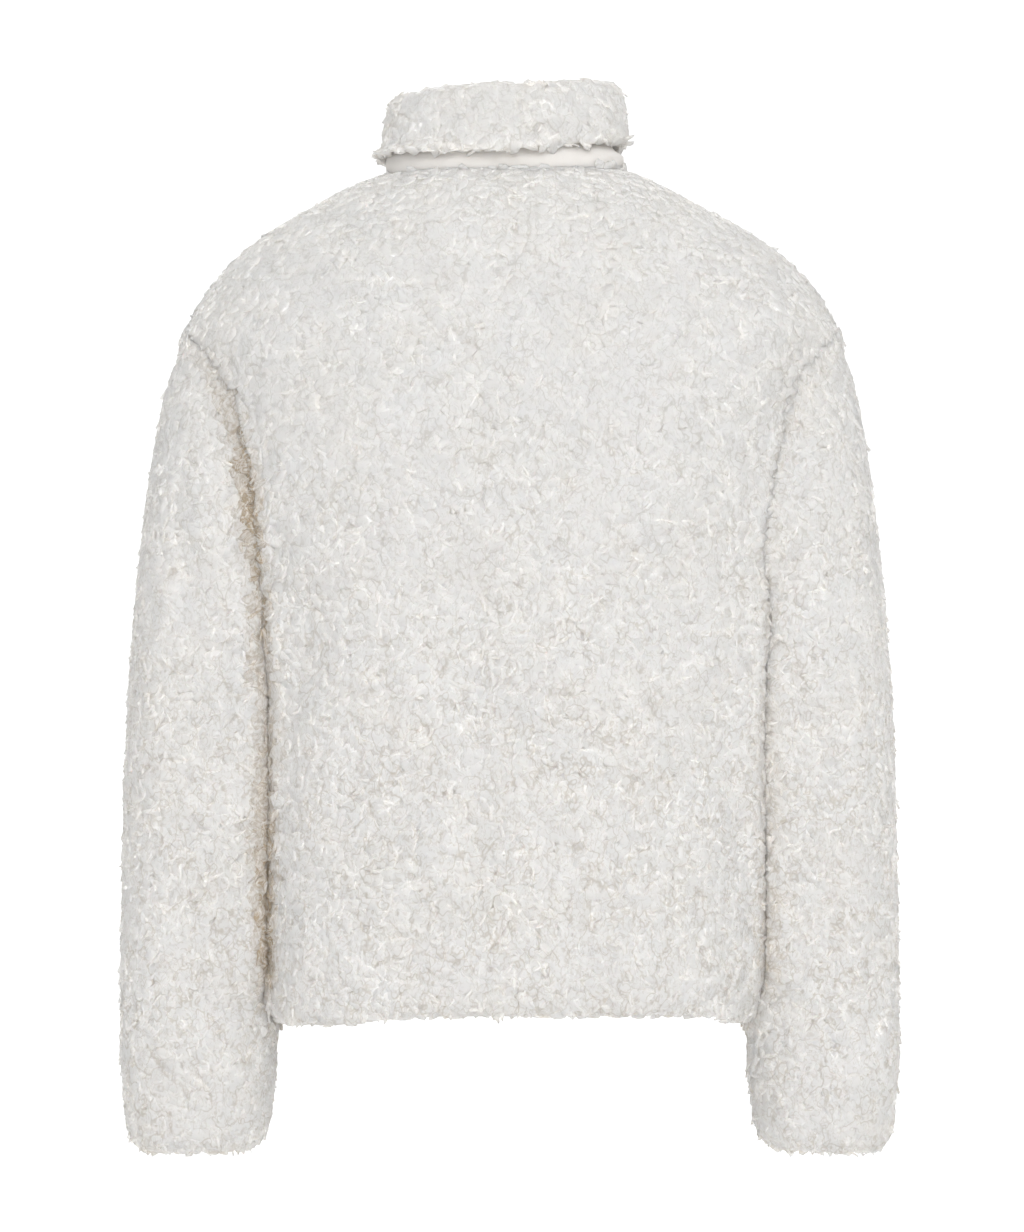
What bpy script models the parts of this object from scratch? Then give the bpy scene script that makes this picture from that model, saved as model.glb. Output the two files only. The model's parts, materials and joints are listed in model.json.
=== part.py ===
# A fleece zip-up jacket, filled out as if worn, with nobody in it.
# Metres, +Z up. The front faces -Y and the wearer's left is +X.
# The origin is the middle of the neck base, at the height of the back neck seam.

import math

import bmesh
import bpy
from mathutils import Matrix, Vector

# ---- cloth -------------------------------------------------------------------------------------
WALL = 0.006  # knitted ground with the dense root of its pile
COLLAR_WALL = 0.005
SEAM_GAP = 0.0003  # between pieces that are sewn together
STEP = 0.0005  # step for slopes of the body's surface, in metres or radians
SLEEVE_STEP = 0.02  # the same on a sleeve, in rows or radians
ARMHOLE_STEP = 0.05  # and round the armhole, in radians

# ---- body --------------------------------------------------------------------------------------
# Each row is a closed section. z is its height at the sides, rise_back and drop_front lift and lower
# its two middles, and squareness is the exponent of its rounded outline (2 is an ellipse).
BODY_COLUMNS = ("z", "half_width", "depth_back", "depth_front", "squareness", "rise_back", "drop_front")
BODY_SECTIONS = (
    (-0.6085, 0.1640, 0.1210, 0.1270, 3.0, 0.000, 0.000),  # hem, rolled under
    (-0.6035, 0.1695, 0.1265, 0.1335, 3.0, 0.000, 0.000),
    (-0.5935, 0.1715, 0.1295, 0.1375, 3.0, 0.000, 0.000),
    (-0.5400, 0.1730, 0.1310, 0.1390, 3.0, 0.000, 0.000),
    (-0.4400, 0.1725, 0.1300, 0.1390, 3.0, 0.000, 0.000),
    (-0.3650, 0.1722, 0.1300, 0.1400, 2.9, 0.000, 0.000),
    (-0.3450, 0.1735, 0.1300, 0.1405, 2.9, 0.000, 0.000),  # bottom of the armhole
    (-0.2900, 0.1870, 0.1310, 0.1410, 2.8, 0.000, 0.002),
    (-0.2500, 0.2000, 0.1310, 0.1405, 2.7, 0.000, 0.005),
    (-0.2150, 0.2105, 0.1295, 0.1395, 2.6, 0.002, 0.009),
    (-0.1700, 0.2225, 0.1250, 0.1360, 2.5, 0.004, 0.016),
    (-0.1450, 0.2285, 0.1215, 0.1330, 2.4, 0.006, 0.021),
    (-0.1180, 0.2315, 0.1160, 0.1285, 2.4, 0.008, 0.027),  # top of the armhole, the shoulder's tip
    (-0.1000, 0.2220, 0.1110, 0.1245, 2.4, 0.009, 0.031),
    (-0.0760, 0.2040, 0.1030, 0.1185, 2.3, 0.011, 0.037),
    (-0.0530, 0.1750, 0.0935, 0.1110, 2.2, 0.012, 0.044),
    (-0.0300, 0.1335, 0.0800, 0.1000, 2.2, 0.009, 0.050),
    (-0.0180, 0.1125, 0.0715, 0.0925, 2.2, 0.005, 0.054),
    (-0.0110, 0.1000, 0.0660, 0.0865, 2.2, 0.001, 0.056),
    (-0.0075, 0.0910, 0.0640, 0.0840, 2.2, -0.001, 0.057),
    (-0.0050, 0.0790, 0.0625, 0.0825, 2.2, -0.003, 0.058),  # neck seam
)
# Half the width across the armhole's edge, which lies in a crease between the body and the sleeve.
ARMHOLE_EDGE = (
    (-0.3450, 0.1735),
    (-0.2900, 0.1755),
    (-0.2500, 0.1790),
    (-0.2150, 0.1845),
    (-0.1700, 0.1960),
    (-0.1450, 0.2080),
    (-0.1300, 0.2205),
    (-0.1220, 0.2285),
    (-0.1180, 0.2325),
)
ARMHOLE_TOP = -0.1180
ARMHOLE_BOTTOM = -0.3450
ARMHOLE_DEPTH = 0.074  # half its size from front to back
ARMHOLE_SQUARENESS = 2.4
CREASE_SPREAD = math.radians(9.0)  # the crease's half width, round the body
NECK = -0.0050
NECK_TILT = 0.001  # the neck seam is this much lower at the left side and higher at the right
NECK_TILT_BELOW = 0.025  # and the tilt has faded out this far below it
NECK_SHIFT = 0.005  # the neck sits a little to the left, except at its front, where the zip is
NECK_SHIFT_BELOW = 0.085

HEM_ROWS = (-0.6085, -0.6060, -0.6015, -0.5925, -0.5650, -0.5200, -0.4750, -0.4250, -0.3780)
ARMHOLE_ROWS = 12  # intervals up each side of the armhole
SHOULDER_ROWS = (-0.1050, -0.0890, -0.0710, -0.0550, -0.0420, -0.0300, -0.0170, NECK)
BACK_COLUMNS = 16
FRONT_COLUMNS = 8
EDGE_COLUMNS = 3  # columns over which a row turns from its edge's height to its middle's

# Where the lower edge dips: middle in degrees round from the left side, spread in degrees, drop.
HEM_DIPS = (
    (33.0, 17.0, 0.0100),
    (158.0, 12.0, 0.0055),
    (232.0, 24.0, 0.0040),
    (303.0, 20.0, 0.0055),
)
HEM_DIP_FROM = -0.500  # the dips grow from here down to the hem

# ---- sleeves, the left one, mirrored for the right ------------------------------------------------
# Each row is a closed section through the line from its inner to its outer point. It starts at the
# armhole and turns like a fan until it is level. back and front are how far it reaches in Y.
SLEEVE_COLUMNS = ("row", "inner_x", "inner_z", "outer_x", "outer_z", "back", "front", "squareness")
SLEEVE_SECTIONS = (
    (0, 0.1735, -0.3450, 0.2325, -0.1180, 0.074, -0.074, 2.3),
    (1, 0.1745, -0.3480, 0.2400, -0.1380, 0.080, -0.080, 2.3),
    (2, 0.1755, -0.3525, 0.2475, -0.1640, 0.082, -0.082, 2.3),
    (3, 0.1765, -0.3590, 0.2530, -0.1980, 0.083, -0.083, 2.3),
    (4, 0.1768, -0.3680, 0.2590, -0.2400, 0.082, -0.083, 2.3),
    (5, 0.1768, -0.3800, 0.2640, -0.2860, 0.080, -0.083, 2.3),
    (6, 0.1768, -0.3970, 0.2685, -0.3360, 0.077, -0.082, 2.3),
    (7, 0.1768, -0.4220, 0.2720, -0.3870, 0.074, -0.080, 2.3),
    (8, 0.1768, -0.4550, 0.2745, -0.4370, 0.070, -0.078, 2.3),
    (9, 0.1765, -0.4940, 0.2760, -0.4870, 0.065, -0.076, 2.3),
    (10, 0.1765, -0.5350, 0.2770, -0.5350, 0.061, -0.073, 2.3),
    (11, 0.1760, -0.5780, 0.2775, -0.5790, 0.057, -0.071, 2.3),
    (12, 0.1735, -0.6150, 0.2780, -0.6170, 0.054, -0.068, 2.3),
    (13, 0.1695, -0.6450, 0.2785, -0.6460, 0.051, -0.066, 2.3),
    (14, 0.1712, -0.6700, 0.2775, -0.6700, 0.048, -0.062, 2.4),
    (15, 0.1750, -0.6880, 0.2750, -0.6890, 0.043, -0.057, 2.4),
    (16, 0.1805, -0.7010, 0.2705, -0.7025, 0.036, -0.050, 2.5),
    (17, 0.1890, -0.7085, 0.2620, -0.7100, 0.027, -0.041, 2.5),
)
SLEEVE_FIT_ROWS = 3  # rows over which the section passes from the armhole's outline to its own
SLEEVE_WIDER = {1: 0.0015, -1: -0.0015}  # the left sleeve stands out a little more than the right

# ---- large soft folds ----------------------------------------------------------------------------
# face is 1 on the back and -1 on the front. Each runs from (x0, z0) to (x1, z1); a positive depth
# is a trough and a negative one a ridge.
FOLD_COLUMNS = ("piece", "face", "x0", "z0", "x1", "z1", "half_width", "depth")
FOLDS = (
    ("body", 1, 0.0200, -0.310, 0.0180, -0.500, 0.022, 0.0035),
    ("body", 1, -0.1030, -0.310, -0.0980, -0.475, 0.020, 0.0030),
    ("body", 1, -0.1430, -0.250, -0.1400, -0.350, 0.018, 0.0035),
    ("body", 1, 0.0950, -0.030, 0.1550, -0.080, 0.020, 0.0035),
    ("body", 1, 0.1000, -0.400, 0.1080, -0.560, 0.024, 0.0025),
    ("body", -1, 0.0850, -0.260, 0.0620, -0.470, 0.024, 0.0040),
    ("body", -1, -0.0950, -0.230, -0.0800, -0.400, 0.022, 0.0040),
    ("body", -1, 0.1350, -0.190, 0.1280, -0.300, 0.018, 0.0035),
    ("body", -1, -0.0700, -0.450, -0.0780, -0.580, 0.024, 0.0030),
    ("sleeve_left", 1, 0.2430, -0.190, 0.2270, -0.290, 0.017, 0.0055),
    ("sleeve_left", 1, 0.2270, -0.290, 0.2200, -0.400, 0.018, 0.0060),
    ("sleeve_left", 1, 0.2200, -0.400, 0.2240, -0.590, 0.018, 0.0060),
    ("sleeve_left", -1, 0.2350, -0.240, 0.2230, -0.430, 0.018, 0.0050),
    ("sleeve_left", -1, 0.2300, -0.470, 0.2360, -0.600, 0.017, 0.0040),
    ("sleeve_right", 1, -0.2360, -0.200, -0.2300, -0.360, 0.016, 0.0035),
    ("sleeve_right", 1, -0.2620, -0.480, -0.2500, -0.620, 0.017, 0.0050),
    ("sleeve_right", 1, -0.2220, -0.500, -0.2210, -0.580, 0.015, 0.0045),
    ("sleeve_right", -1, -0.2320, -0.250, -0.2250, -0.410, 0.018, 0.0050),
    ("sleeve_right", -1, -0.2260, -0.450, -0.2330, -0.590, 0.018, 0.0045),
)
FOLD_FADE = 2.0  # folds of the body fade out towards its sides
CUFF_CREASE_Z = -0.664  # a soft crease all round, above each cuff's rolled end
CUFF_CREASE_HALF_WIDTH = 0.010
CUFF_CREASE_DEPTH = 0.0035

# ---- collar: one piece, up from the neck seam, folded outwards and down ---------------------------
# The middle of its wall: how far out from the stand, and what share of the collar's height it is up
# from the seam and of the fall's length it is down again.
COLLAR_PROFILE = (
    (0.0000, 0.00, 0.00),
    (-0.0005, 0.32, 0.00),
    (-0.0012, 0.64, 0.00),
    (-0.0028, 0.87, 0.00),
    (-0.0022, 0.96, 0.00),
    (0.0006, 1.00, 0.00),
    (0.0040, 1.00, 0.05),
    (0.0060, 1.00, 0.16),
    (0.0076, 1.00, 0.42),
    (0.0086, 1.00, 0.72),
    (0.0092, 1.00, 1.00),
)
# At the left, the back, the right and the front.
COLLAR_HEIGHT = (0.0545, 0.0620, 0.0625, 0.0570)
COLLAR_FALL = (0.0400, 0.0470, 0.0380, 0.0420)
COLLAR_SEAT = 0.0006  # straight up from the sloping neck seam, so about 0.3 mm across it
COLLAR_LEAN = math.radians(9.0)  # it leans towards the front, as a neck does
COLLAR_FALL_SLACK = 0.0012  # slow waves in the fall, in and out
COLLAR_FALL_WAVES = 5

# ---- zip, closed from hem to neck seam --------------------------------------------------------------
FRONT_EDGE = 0.006  # from the middle to each front's edge
TAPE_SEAT = 0.0005  # from the fronts' inner face to the tape
TAPE_WIDTH = 0.016
TAPE_THICKNESS = 0.0010
TAPE_BOTTOM = -0.5925
TAPE_TOP = -0.0060
BEAD_WIDTH = 0.0032  # the edge that carries the teeth
BEAD_STANDS = 0.0012  # in front of the tape
BEAD_SLOPE = 0.0002
PART_FROM = -0.0320  # the two tapes part from here to the neck
PART_BY = 0.0021
SLIDER_Z = -0.0230  # section that the slider's middle is on
SLIDER = {"width": 0.0082, "length": 0.0110, "front": 0.0018, "back": 0.0014, "clear": 0.0003,
          "post_width": 0.0013, "post_length": 0.0024, "post_up": 0.0040}
LUG = {"width": 0.0016, "length": 0.0062, "height": 0.0034, "hole": 0.0011, "hole_up": 0.0016}
PULL = {"width": 0.0050, "length": 0.0270, "thickness": 0.0014, "eye": 0.0046, "bar": 0.0007}
END_BOX = {"width": 0.0075, "length": 0.0090, "thickness": 0.0034}
SUNK = 0.0003  # how far joined shapes reach into each other
ROD_SIDES = 16

FLEECE = (0.80, 0.78, 0.74)
TAPE = (0.74, 0.70, 0.63)
NICKEL = (0.62, 0.60, 0.56)


# ---- reading the tables ------------------------------------------------------------------------------
def slopes_of(xs, ys):
    """Slopes that keep a cubic through the rows from overshooting any of them."""
    steps = [(y1 - y0) / (x1 - x0) for x0, x1, y0, y1 in zip(xs, xs[1:], ys, ys[1:])]
    inner = [0.0 if a * b <= 0 else 2 * a * b / (a + b) for a, b in zip(steps, steps[1:])]
    return [steps[0]] + inner + [steps[-1]]


def smooth_columns(names, rows):
    """For each named column, a function that reads it smoothly between the rows."""
    xs = [row[0] for row in rows]

    def reader(ys):
        slopes = slopes_of(xs, ys)

        def read(x):
            i = max(i for i in range(len(xs) - 1) if i == 0 or xs[i] <= x)
            wide = xs[i + 1] - xs[i]
            t = min(max((x - xs[i]) / wide, 0.0), 1.0)
            return (
                (1 + 2 * t) * (1 - t) ** 2 * ys[i]
                + t * (1 - t) ** 2 * wide * slopes[i]
                + t * t * (3 - 2 * t) * ys[i + 1]
                + t * t * (t - 1) * wide * slopes[i + 1]
            )

        return read

    return {name: reader([row[k] for row in rows]) for k, name in enumerate(names)}


def ease(value):
    """0 up to 0, 1 from 1 on, and smooth between."""
    value = min(max(value, 0.0), 1.0)
    return value * value * (3 - 2 * value)


BODY = smooth_columns(BODY_COLUMNS, BODY_SECTIONS)
ARMHOLE = smooth_columns(("z", "edge_x"), ARMHOLE_EDGE)
SLEEVE = smooth_columns(SLEEVE_COLUMNS, SLEEVE_SECTIONS)


# ---- folds ------------------------------------------------------------------------------------------
def fold_depth(piece, face, x, z):
    """How far the folds of a piece press its face in at this place."""
    depth = 0.0
    for row in FOLDS:
        fold = dict(zip(FOLD_COLUMNS, row))
        if fold["piece"] != piece or fold["face"] != face:
            continue
        along = Vector((fold["x1"] - fold["x0"], fold["z1"] - fold["z0"]))
        reach = Vector((x - fold["x0"], z - fold["z0"]))
        share = reach.dot(along) / along.length_squared
        nearest = along * min(max(share, 0.0), 1.0)
        away = (reach - nearest).length / fold["half_width"]
        depth += fold["depth"] * math.exp(-away * away)
    return depth


# ---- body surface -----------------------------------------------------------------------------------
def armhole_reach(z):
    """Half the armhole's size in Y at this height; 0 above and below it."""
    middle = (ARMHOLE_TOP + ARMHOLE_BOTTOM) / 2
    share = abs(z - middle) / ((ARMHOLE_TOP - ARMHOLE_BOTTOM) / 2)
    if share >= 1.0:
        return 0.0
    return ARMHOLE_DEPTH * (1 - share**ARMHOLE_SQUARENESS) ** (1 / ARMHOLE_SQUARENESS)


def hem_dip(z, angle):
    degrees = math.degrees(angle) % 360.0
    dip = sum(drop * math.exp(-(((degrees - middle) / spread) ** 2)) for middle, spread, drop in HEM_DIPS)
    return dip * ease((HEM_DIP_FROM - z) / (HEM_DIP_FROM - BODY_SECTIONS[1][0]))


def edge_x(z):
    return ARMHOLE["edge_x"](z)


def body_radius(z, cosine, sine):
    depth = BODY["depth_back"](z) if sine >= 0 else BODY["depth_front"](z)
    power = BODY["squareness"](z)
    half_width = BODY["half_width"](z)
    return (abs(cosine / half_width) ** power + abs(sine / depth) ** power) ** (-1 / power)


def body_base(z, angle):
    """A point of the body's outer face, before its folds. angle runs from the left side to the back."""
    cosine, sine = math.cos(angle), math.sin(angle)
    radius = body_radius(z, cosine, sine)
    turn = edge_angle(z)
    if turn > 0:
        edge = Vector((edge_x(z), armhole_reach(z)))
        sink = 1 - edge.length / body_radius(z, math.cos(turn), math.copysign(math.sin(turn), sine))
        from_edge = (math.asin(abs(sine)) - turn) / CREASE_SPREAD
        radius *= 1 - sink * math.exp(-from_edge * from_edge)
    lift = BODY["rise_back"](z) if sine >= 0 else -BODY["drop_front"](z)
    tilt = NECK_TILT * cosine * ease(1 - (NECK - z) / NECK_TILT_BELOW)
    shift = NECK_SHIFT * ease(1 - (NECK - z) / NECK_SHIFT_BELOW) * (1 - min(sine, 0.0) ** 2)
    height = z + lift * sine * sine - tilt - hem_dip(z, angle)
    return Vector((radius * cosine + shift, radius * sine, height))


def body_normal(z, angle):
    round_it = body_base(z, angle + STEP) - body_base(z, angle - STEP)
    top = min(z + STEP, NECK)
    bottom = max(z - STEP, BODY_SECTIONS[0][0])
    up_it = body_base(top, angle) - body_base(bottom, angle)
    return round_it.cross(up_it).normalized()


def body_point(z, angle):
    base = body_base(z, angle)
    face = 1 if math.sin(angle) >= 0 else -1
    press = fold_depth("body", face, base.x, base.z) * ease(FOLD_FADE * abs(math.sin(angle)))
    return base - body_normal(z, angle) * press


def level_normal(z, angle):
    """Outward and level, for the cut edge of the cloth at the neck seam."""
    round_it = body_base(z, angle + STEP) - body_base(z, angle - STEP)
    return Vector((round_it.y, -round_it.x, 0.0)).normalized()


# ---- the armhole's edge, shared by the body's pieces and the sleeve ----------------------------------
def armhole_height(angle):
    """angle is 0 at the shoulder's tip and pi under the arm."""
    middle = (ARMHOLE_TOP + ARMHOLE_BOTTOM) / 2
    return middle + (ARMHOLE_TOP - ARMHOLE_BOTTOM) / 2 * math.cos(angle)


def armhole_angle(z):
    share = (z - ARMHOLE_BOTTOM) / (ARMHOLE_TOP - ARMHOLE_BOTTOM)
    return math.acos(min(max(2 * share - 1, -1.0), 1.0))


def edge_angle(z):
    """How far round from the side seam the armhole's edge is at this height."""
    return math.atan2(armhole_reach(z), edge_x(z))


def armhole_point(side, angle):
    z = armhole_height(angle)
    turn = edge_angle(z)
    if math.sin(angle) < 0:
        turn = -turn
    return body_point(z, turn if side > 0 else math.pi - turn)


def armhole_normal(side, angle):
    """Away from the middle of the armhole, in its own plane, so that both pieces share one cut face."""
    along = armhole_point(side, angle + ARMHOLE_STEP) - armhole_point(side, angle - ARMHOLE_STEP)
    across = Vector((0, 1, 0)).cross(armhole_point(side, 0.0) - armhole_point(side, math.pi))
    outward = along.cross(across).normalized()
    middle = (armhole_point(side, 0.0) + armhole_point(side, math.pi)) / 2
    return outward if outward.dot(armhole_point(side, angle) - middle) > 0 else -outward


# ---- sleeve surface ------------------------------------------------------------------------------------
def sleeve_section(row, angle):
    """The section's own outline on the left side; angle is 0 outside, pi / 2 at the back, pi inside."""
    inner = Vector((SLEEVE["inner_x"](row), 0, SLEEVE["inner_z"](row)))
    outer = Vector((SLEEVE["outer_x"](row), 0, SLEEVE["outer_z"](row)))
    cosine, sine = math.cos(angle), math.sin(angle)
    half_width = (outer - inner).length / 2
    reach_y = SLEEVE["back"](row) if sine >= 0 else -SLEEVE["front"](row)
    power = SLEEVE["squareness"](row)
    radius = (abs(cosine / half_width) ** power + abs(sine / reach_y) ** power) ** (-1 / power)
    outward = (outer - inner).normalized()
    return (inner + outer) / 2 + outward * radius * cosine + Vector((0, radius * sine, 0))


def sleeve_base(side, row, angle):
    point = sleeve_section(row, angle)
    point.x += SLEEVE_WIDER[side] * ease(row / SLEEVE_FIT_ROWS) * (1 + math.cos(angle)) / 2
    point.x *= side
    fit = 1 - ease(row / SLEEVE_FIT_ROWS)
    if fit > 0:
        first = sleeve_section(0, angle)
        first.x *= side
        point += (armhole_point(side, angle) - first) * fit
    point.x += side * SEAM_GAP
    return point


def sleeve_normal(side, row, angle):
    last = SLEEVE_SECTIONS[-1][0]
    below, above = min(row + SLEEVE_STEP, last), max(row - SLEEVE_STEP, 0)
    round_it = sleeve_base(side, row, angle + SLEEVE_STEP) - sleeve_base(side, row, angle - SLEEVE_STEP)
    down_it = sleeve_base(side, below, angle) - sleeve_base(side, above, angle)
    return down_it.cross(round_it).normalized() * side


def sleeve_point(side, row, angle):
    """A point of the sleeve's outer face and the way out of its wall there."""
    base = sleeve_base(side, row, angle)
    if row == 0:
        return base, armhole_normal(side, angle)
    normal = sleeve_normal(side, row, angle)
    face = 1 if math.sin(angle) >= 0 else -1
    piece = "sleeve_left" if side > 0 else "sleeve_right"
    press = fold_depth(piece, face, base.x, base.z) * abs(math.sin(angle))
    crease = (base.z - CUFF_CREASE_Z) / CUFF_CREASE_HALF_WIDTH
    press += CUFF_CREASE_DEPTH * math.exp(-crease * crease)
    return base - normal * press, normal


# ---- building meshes -----------------------------------------------------------------------------------
def material(name, colour, roughness, metallic=0.0):
    made = bpy.data.materials.new(name)
    made.use_nodes = True
    shader = made.node_tree.nodes["Principled BSDF"]
    shader.inputs["Base Color"].default_value = (*colour, 1.0)
    shader.inputs["Roughness"].default_value = roughness
    shader.inputs["Metallic"].default_value = metallic
    return made


def add_object(name, mesh, look, collection):
    thing = bpy.data.objects.new(name, mesh)
    thing.data.materials.append(look)
    collection.objects.link(thing)
    return thing


def rim_faces(form, a, b, c, d):
    """Two triangles of a cut edge. The rule for their diagonal is the same on both sides of a seam."""
    if a.co.z > b.co.z:
        a, b, c, d = b, a, d, c
    form.faces.new((a, b, c))
    form.faces.new((a, c, d))


def closed_wall(name, face, back, around, look, collection):
    """One closed body between two grids of points. around joins each row's end to its start."""
    form = bmesh.new()
    front, behind = [[[form.verts.new(p) for p in row] for row in grid] for grid in (face, back)]
    rows, columns = len(face), len(face[0])
    last = columns if around else columns - 1
    for i in range(rows - 1):
        for j in range(last):
            k = (j + 1) % columns
            for grid in (front, behind):
                form.faces.new((grid[i][j], grid[i][k], grid[i + 1][k], grid[i + 1][j]))
    for i in (0, rows - 1):
        for j in range(last):
            k = (j + 1) % columns
            rim_faces(form, front[i][j], front[i][k], behind[i][k], behind[i][j])
    if not around:
        for j in (0, columns - 1):
            for i in range(rows - 1):
                rim_faces(form, front[i][j], front[i + 1][j], behind[i + 1][j], behind[i][j])
    bmesh.ops.triangulate(form, faces=form.faces, quad_method="SHORT_EDGE")
    bmesh.ops.recalc_face_normals(form, faces=form.faces)
    mesh = bpy.data.meshes.new(name)
    form.to_mesh(mesh)
    form.free()
    mesh.shade_smooth()
    return add_object(name, mesh, look, collection)


def body_rows():
    """Each row's height at a piece's side edge and in its middle. They differ beside the armhole only."""
    level = [(z, z) for z in HEM_ROWS]
    for k in range(ARMHOLE_ROWS + 1):
        share = k / ARMHOLE_ROWS
        middle = ARMHOLE_BOTTOM + (ARMHOLE_TOP - ARMHOLE_BOTTOM) * share
        level.append((armhole_height(math.pi * (1 - share)), middle))
    return level + [(z, z) for z in SHOULDER_ROWS]


def seam_turn(z):
    """The angle that half a seam's gap takes up at the side of this section."""
    return SEAM_GAP / 2 / BODY["half_width"](z)


def body_panel(name, start, end, side_columns, columns, look, collection):
    """A piece of the body. start and end give the angle of its two edges at a height, and
    side_columns says which of its first and last columns lie on the side of the body."""
    outer, inner = [], []
    for edge_z, middle_z in body_rows():
        first, last = start(edge_z), end(edge_z)
        in_armhole = ARMHOLE_BOTTOM - STEP < edge_z < ARMHOLE_TOP + STEP
        outer_row, inner_row = [], []
        for k in range(columns + 1):
            angle = first + (last - first) * k / columns
            from_side = min(abs(k - side) for side in side_columns)
            z = edge_z + (middle_z - edge_z) * ease(from_side / EDGE_COLUMNS)
            point = body_point(z, angle)
            wall = body_normal(z, angle) * WALL
            if z == NECK:
                wall = level_normal(z, angle) * COLLAR_WALL
            elif in_armhole and from_side == 0:
                down = armhole_angle(z)
                wall = armhole_normal(math.copysign(1, point.x), math.copysign(down, math.sin(angle))) * WALL
            outer_row.append(point)
            inner_row.append(point - wall)
        outer.append(outer_row)
        inner.append(inner_row)
    return closed_wall(name, outer, inner, False, look, collection)


def side_edge(z):
    return max(edge_angle(z), seam_turn(z))


def front_edge(z):
    """How far the front's edge is turned from the middle of the front."""
    return math.atan2(FRONT_EDGE, BODY["depth_front"](z))


def build_body(look, collection):
    middle = math.pi * 1.5
    body_panel("back", side_edge, lambda z: math.pi - side_edge(z), (0, BACK_COLUMNS), BACK_COLUMNS,
               look, collection)
    body_panel("front_right", lambda z: math.pi + side_edge(z), lambda z: middle - front_edge(z),
               (0,), FRONT_COLUMNS, look, collection)
    body_panel("front_left", lambda z: middle + front_edge(z), lambda z: math.pi * 2 - side_edge(z),
               (FRONT_COLUMNS,), FRONT_COLUMNS, look, collection)


def build_sleeve(side, look, collection):
    outer, inner = [], []
    for section in SLEEVE_SECTIONS:
        outer_row, inner_row = [], []
        for k in range(2 * ARMHOLE_ROWS):
            point, normal = sleeve_point(side, section[0], math.pi * k / ARMHOLE_ROWS)
            outer_row.append(point)
            inner_row.append(point - normal * WALL)
        outer.append(outer_row)
        inner.append(inner_row)
    name = "sleeve_left" if side > 0 else "sleeve_right"
    return closed_wall(name, outer, inner, True, look, collection)


def collar_fall_wave(angle, share):
    """Slow waves in the fall, none in the stand."""
    return COLLAR_FALL_SLACK * math.sin(COLLAR_FALL_WAVES * angle) * ease(share * 2 - 1)


def neck_angles():
    """From one front's edge round the back to the other, on the columns of the pieces below."""
    quarter = math.pi / 2
    turns = [-quarter + front_edge(NECK) + (quarter - front_edge(NECK)) * k / FRONT_COLUMNS
             for k in range(FRONT_COLUMNS)]
    back = [math.pi * k / BACK_COLUMNS for k in range(BACK_COLUMNS + 1)]
    return turns + back + [math.pi - turn for turn in reversed(turns)]


def by_quarter(values, angle):
    """Passes smoothly between its values at the left, the back, the right and the front."""
    cosine, sine = math.cos(angle), math.sin(angle)
    shares = (max(cosine, 0) ** 2, max(sine, 0) ** 2, max(-cosine, 0) ** 2, max(-sine, 0) ** 2)
    return sum(value * share for value, share in zip(values, shares))


def collar_profile(angle):
    """Its wall's middle line here: how far out from the stand and how far up from the seam."""
    height, fall = by_quarter(COLLAR_HEIGHT, angle), by_quarter(COLLAR_FALL, angle)
    return [Vector((out, height * up - fall * down)) for out, up, down in COLLAR_PROFILE]


def build_collar(look, collection):
    up = Vector((0, -math.sin(COLLAR_LEAN), math.cos(COLLAR_LEAN)))
    smooth_face, pile_face = [], []
    for k in range(len(COLLAR_PROFILE)):
        smooth_row, pile_row = [], []
        for angle in neck_angles():
            profile = collar_profile(angle)
            middle = profile[k]
            along = (profile[min(k + 1, len(profile) - 1)] - profile[max(k - 1, 0)]).normalized()
            across = Vector((along.y, -along.x)) * (COLLAR_WALL / 2)  # out from the stand
            out = level_normal(NECK, angle)
            seam = body_point(NECK, angle) + Vector((0, 0, COLLAR_SEAT))
            wave = collar_fall_wave(angle, k / (len(profile) - 1))
            for row, offset in ((smooth_row, middle + across), (pile_row, middle - across)):
                row.append(seam + out * (offset.x + wave - COLLAR_WALL / 2) + up * offset.y)
        smooth_face.append(smooth_row)
        pile_face.append(pile_row)
    return closed_wall("collar", pile_face, smooth_face, False, look, collection)


# ---- zip ---------------------------------------------------------------------------------------------
def zip_frame(z):
    """On the middle of the front at this section: the point, the way out and the way up."""
    out = body_normal(z, -math.pi / 2)
    out = Vector((0, out.y, out.z)).normalized()
    return body_base(z, -math.pi / 2), out, out.cross(Vector((1, 0, 0)))


def tape_rows():
    return [z for _, z in body_rows() if TAPE_BOTTOM - STEP < z < TAPE_TOP] + [TAPE_TOP]


def tape_face():
    """Y of the tapes' front face, measured out from the fronts' outer face."""
    return -(WALL + TAPE_SEAT)


def build_tape(side, look, collection):
    """A tape with the bead that carries its teeth, behind the front's edge."""
    front_grid, back_grid = [], []
    for z in tape_rows():
        point, out, _ = zip_frame(z)
        inner_edge = SEAM_GAP / 2 + PART_BY * ease((z - PART_FROM) / (NECK - PART_FROM))
        bead_edge = inner_edge + BEAD_WIDTH
        outline = ((inner_edge, BEAD_STANDS), (bead_edge, BEAD_STANDS), (bead_edge + BEAD_SLOPE, 0.0),
                   (TAPE_WIDTH, 0.0))
        front_row, back_row = [], []
        for x, stands in outline:
            across = point + Vector((side * x, 0, 0))
            front_row.append(across + out * (tape_face() + stands))
            back_row.append(across + out * (tape_face() - TAPE_THICKNESS))
        front_grid.append(front_row)
        back_grid.append(back_row)
    name = "zip_tape_left" if side > 0 else "zip_tape_right"
    return closed_wall(name, front_grid, back_grid, False, look, collection)


def slider_faces():
    """Y of the slider's faces, from the back of its rear plate to the front of its front plate."""
    front_inner = tape_face() + BEAD_STANDS + SLIDER["clear"]
    back_inner = tape_face() - TAPE_THICKNESS - SLIDER["clear"]
    return back_inner - SLIDER["back"], back_inner, front_inner, front_inner + SLIDER["front"]


def hinge_out():
    return slider_faces()[3] + LUG["hole_up"]


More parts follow.
